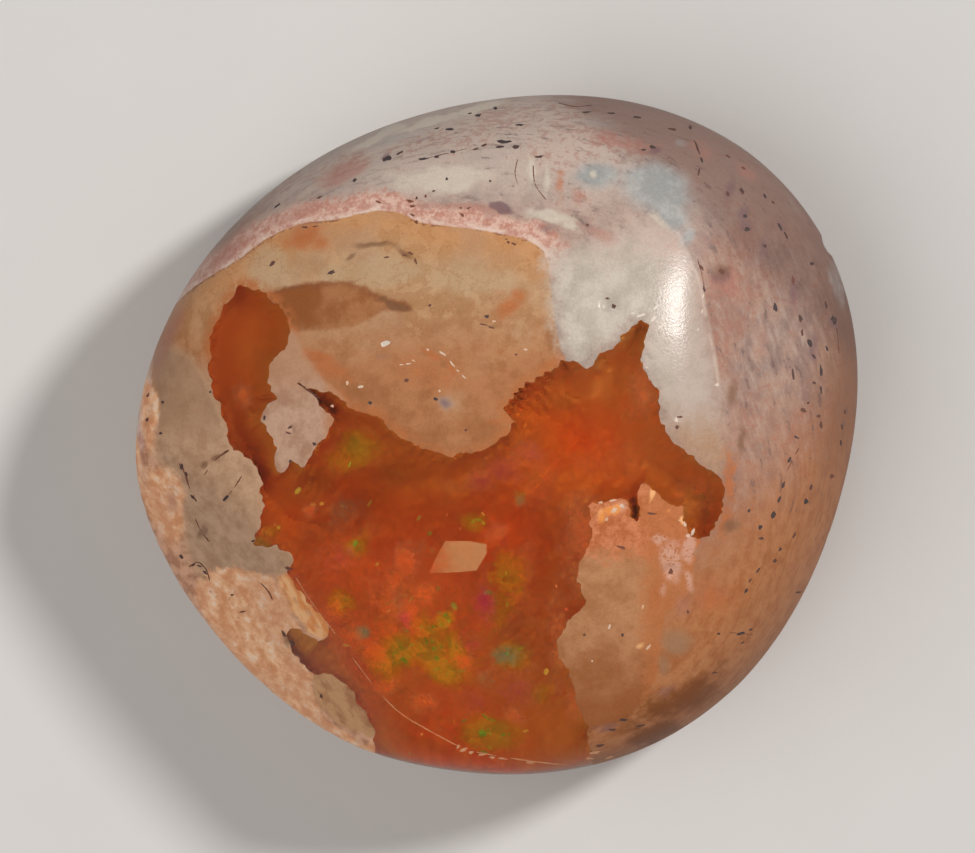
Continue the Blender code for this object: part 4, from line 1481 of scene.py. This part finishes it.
def inlaid(name, grains, skin, finish, seed):
    """Mineral grains as thin plates flush with the skin, each with an uneven outline."""
    points, faces, tones = [], [], []
    angles = np.arange(INLAY_CORNERS) * math.tau / INLAY_CORNERS
    outward = Vector(AXES[2])
    for across, up, half_length, half_width, turn, tone in grains:
        cosine, sine = math.cos(math.radians(turn)), math.sin(math.radians(turn))
        ring = []
        for angle in angles:
            start = Vector((math.cos(angle), math.sin(angle), seed)) + Vector((across, up, 0)) * 9.1
            size = 1 + INLAY_UNEVENNESS * noise.noise(start * INLAY_RAGGEDNESS)
            along, aside = half_length * size * math.cos(angle), half_width * size * math.sin(angle)
            right, above = along * cosine - aside * sine, along * sine + aside * cosine
            drawn = (across + right, up + above, BLOCK_TOP)
            ring.append(skin.ray_cast(Vector(from_drawing(drawn)), -outward))
        if any(place is None for place, _, _, _ in ring):
            continue
        first = len(points)
        for place, normal, _, _ in ring:
            points += [place + normal * INLAY_PROUD, place - normal * INLAY_DEPTH]
        top = range(first, first + 2 * INLAY_CORNERS, 2)
        faces += [tuple(top), tuple(index + 1 for index in reversed(top))]
        for index in top:
            after = first + (index - first + 2) % (2 * INLAY_CORNERS)
            faces.append((after, index, index + 1, after + 1))
        tones += [tone] * 2 * INLAY_CORNERS
    mesh = bpy.data.meshes.new(name)
    mesh.from_pydata(points, [], faces)
    store(mesh, "tone", tones)
    return shown(name, mesh, finish)


def inner_sheet(name, shift, finish):
    """A thin plate inside the opal, drawn by its corners, at a depth that changes across it."""
    corners = millimetres(SHEET_CORNERS)
    across = corners[:, 0]
    levels = skin_level(corners, shift) - SHEET_DEPTH - SHEET_LEAN * (across - across.mean())
    count = len(corners)
    top = np.column_stack((corners, levels))
    both = from_drawing(np.vstack((top, top - (0, 0, SHEET_THICKNESS))))
    faces = [tuple(range(count)), tuple(range(2 * count - 1, count - 1, -1))]
    faces += [(i, i + count, (i + 1) % count + count, (i + 1) % count) for i in range(count)]
    mesh = bpy.data.meshes.new(name)
    mesh.from_pydata(both.tolist(), [], faces)
    bm = bmesh.new()
    bm.from_mesh(mesh)
    bmesh.ops.recalc_face_normals(bm, faces=bm.faces)
    bm.to_mesh(mesh)
    bm.free()
    store(mesh, "tone", np.tile((across - across.min()) / np.ptp(across), 2))
    return shown(name, mesh, finish)


def soft_light(name, place, size, power, colour, mirrored):
    data = bpy.data.lights.new(name, "AREA")
    data.shape = "DISK"
    data.size = size
    data.energy = power
    data.color = colour
    light = in_scene(name, data)
    light.visible_glossy = mirrored
    light.location = place
    light.rotation_euler = (Vector(LIGHT_AIM) - Vector(place)).to_track_quat("-Z", "Y").to_euler()


def studio():
    """A pale floor, a soft key from the upper right, a weaker fill and the camera."""
    floor_mesh = bpy.data.meshes.new("studio_floor")
    bm = bmesh.new()
    bmesh.ops.create_grid(bm, x_segments=8, y_segments=8, size=FLOOR_HALF_SIDE)
    bm.to_mesh(floor_mesh)
    bm.free()
    floor = shown("studio_floor", floor_mesh, floor_finish())
    # The polish stays dark at its rim
    floor.visible_glossy = False

    for name, (direction, *values) in LIGHTS.items():
        soft_light(name, LIGHT_AIM + LIGHT_DISTANCE * np.array(direction) @ AXES, *values)
    bpy.context.scene.view_settings.view_transform = "Standard"
    world = bpy.data.worlds.new("studio_air")
    world.use_nodes = True
    world.node_tree.nodes["Background"].inputs["Color"].default_value = AIR_COLOUR
    world.node_tree.nodes["Background"].inputs["Strength"].default_value = AIR_STRENGTH
    bpy.context.scene.world = world

    data = bpy.data.cameras.new("camera")
    data.sensor_width = SENSOR_WIDTH
    data.lens = SENSOR_WIDTH * CAMERA_DISTANCE / (PICTURE_WIDTH * PIXEL_MM * MM)
    data.clip_start = 0.05
    data.clip_end = 20
    camera = in_scene("camera", data)
    camera.location = from_drawing(VIEW_MIDDLE) + CAMERA_DISTANCE * AXES[2]
    camera.rotation_euler = Matrix([Vector(axis) for axis in AXES]).transposed().to_euler()
    bpy.context.scene.camera = camera


def grain_pieces(skin):
    """The dark grains with the cracks, and the bright crystals with the crease's beads; the white glints
    near the ridge and part of the beads are painted highlights.
    """
    closed = bmesh.new()
    closed.from_mesh(skin)
    ground = BVHTree.FromBMesh(closed)
    closed.free()
    dark = list(np.array(DARK_GRAINS) / GRAIN_UNITS)
    for line, width, tone in CRACKS:
        dark += beads(line, width / 1000, tone / 10)
    bright = [*np.array(CRYSTALS_AND_GLINTS) / GRAIN_UNITS, *beads(CREASE_LINE, CREASE_WIDTH, 1.0)]
    return (
        inlaid("grains", dark, ground, inlay_finish("dark_grains", 0.6), 1),
        inlaid("crystals", bright, ground, inlay_finish("bright_crystals", 0.3), 2),
    )


def inner_pieces(opal, shift):
    """What lies inside the opal: the flecks under its face, and the inner face whose colour paints the light
    that it reflects.
    """
    fleck = fleck_finish()
    sheet = opal_face(opal)
    store(sheet, "play", fleck_cover(sheet))
    flecks = strewn_flecks(sheet, fleck_tree(fleck))
    return shown("colour_flecks", flecks, fleck), inner_sheet("peach_reflection_sheet", shift, sheen_finish())


def main():
    skin, shift = polished_stone()
    relief(skin)
    host_mesh, opal_mesh = carved_pieces(skin, shift)
    mark_host(host_mesh, shift)
    mark_opal(opal_mesh, shift)
    host = shown("host_stone", host_mesh, host_finish())
    line_hollow(host_mesh, hollow_finish())
    opal = shown("opal_filling", opal_mesh, opal_finish())
    for piece, node in ((host, "matrix"), (opal, "fire_opal")):
        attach(piece, "root")
        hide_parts(node)
    for piece in grain_pieces(skin):
        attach(piece, "root")
    for piece in inner_pieces(opal_mesh, shift):
        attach(piece, "root")
    studio()


main()
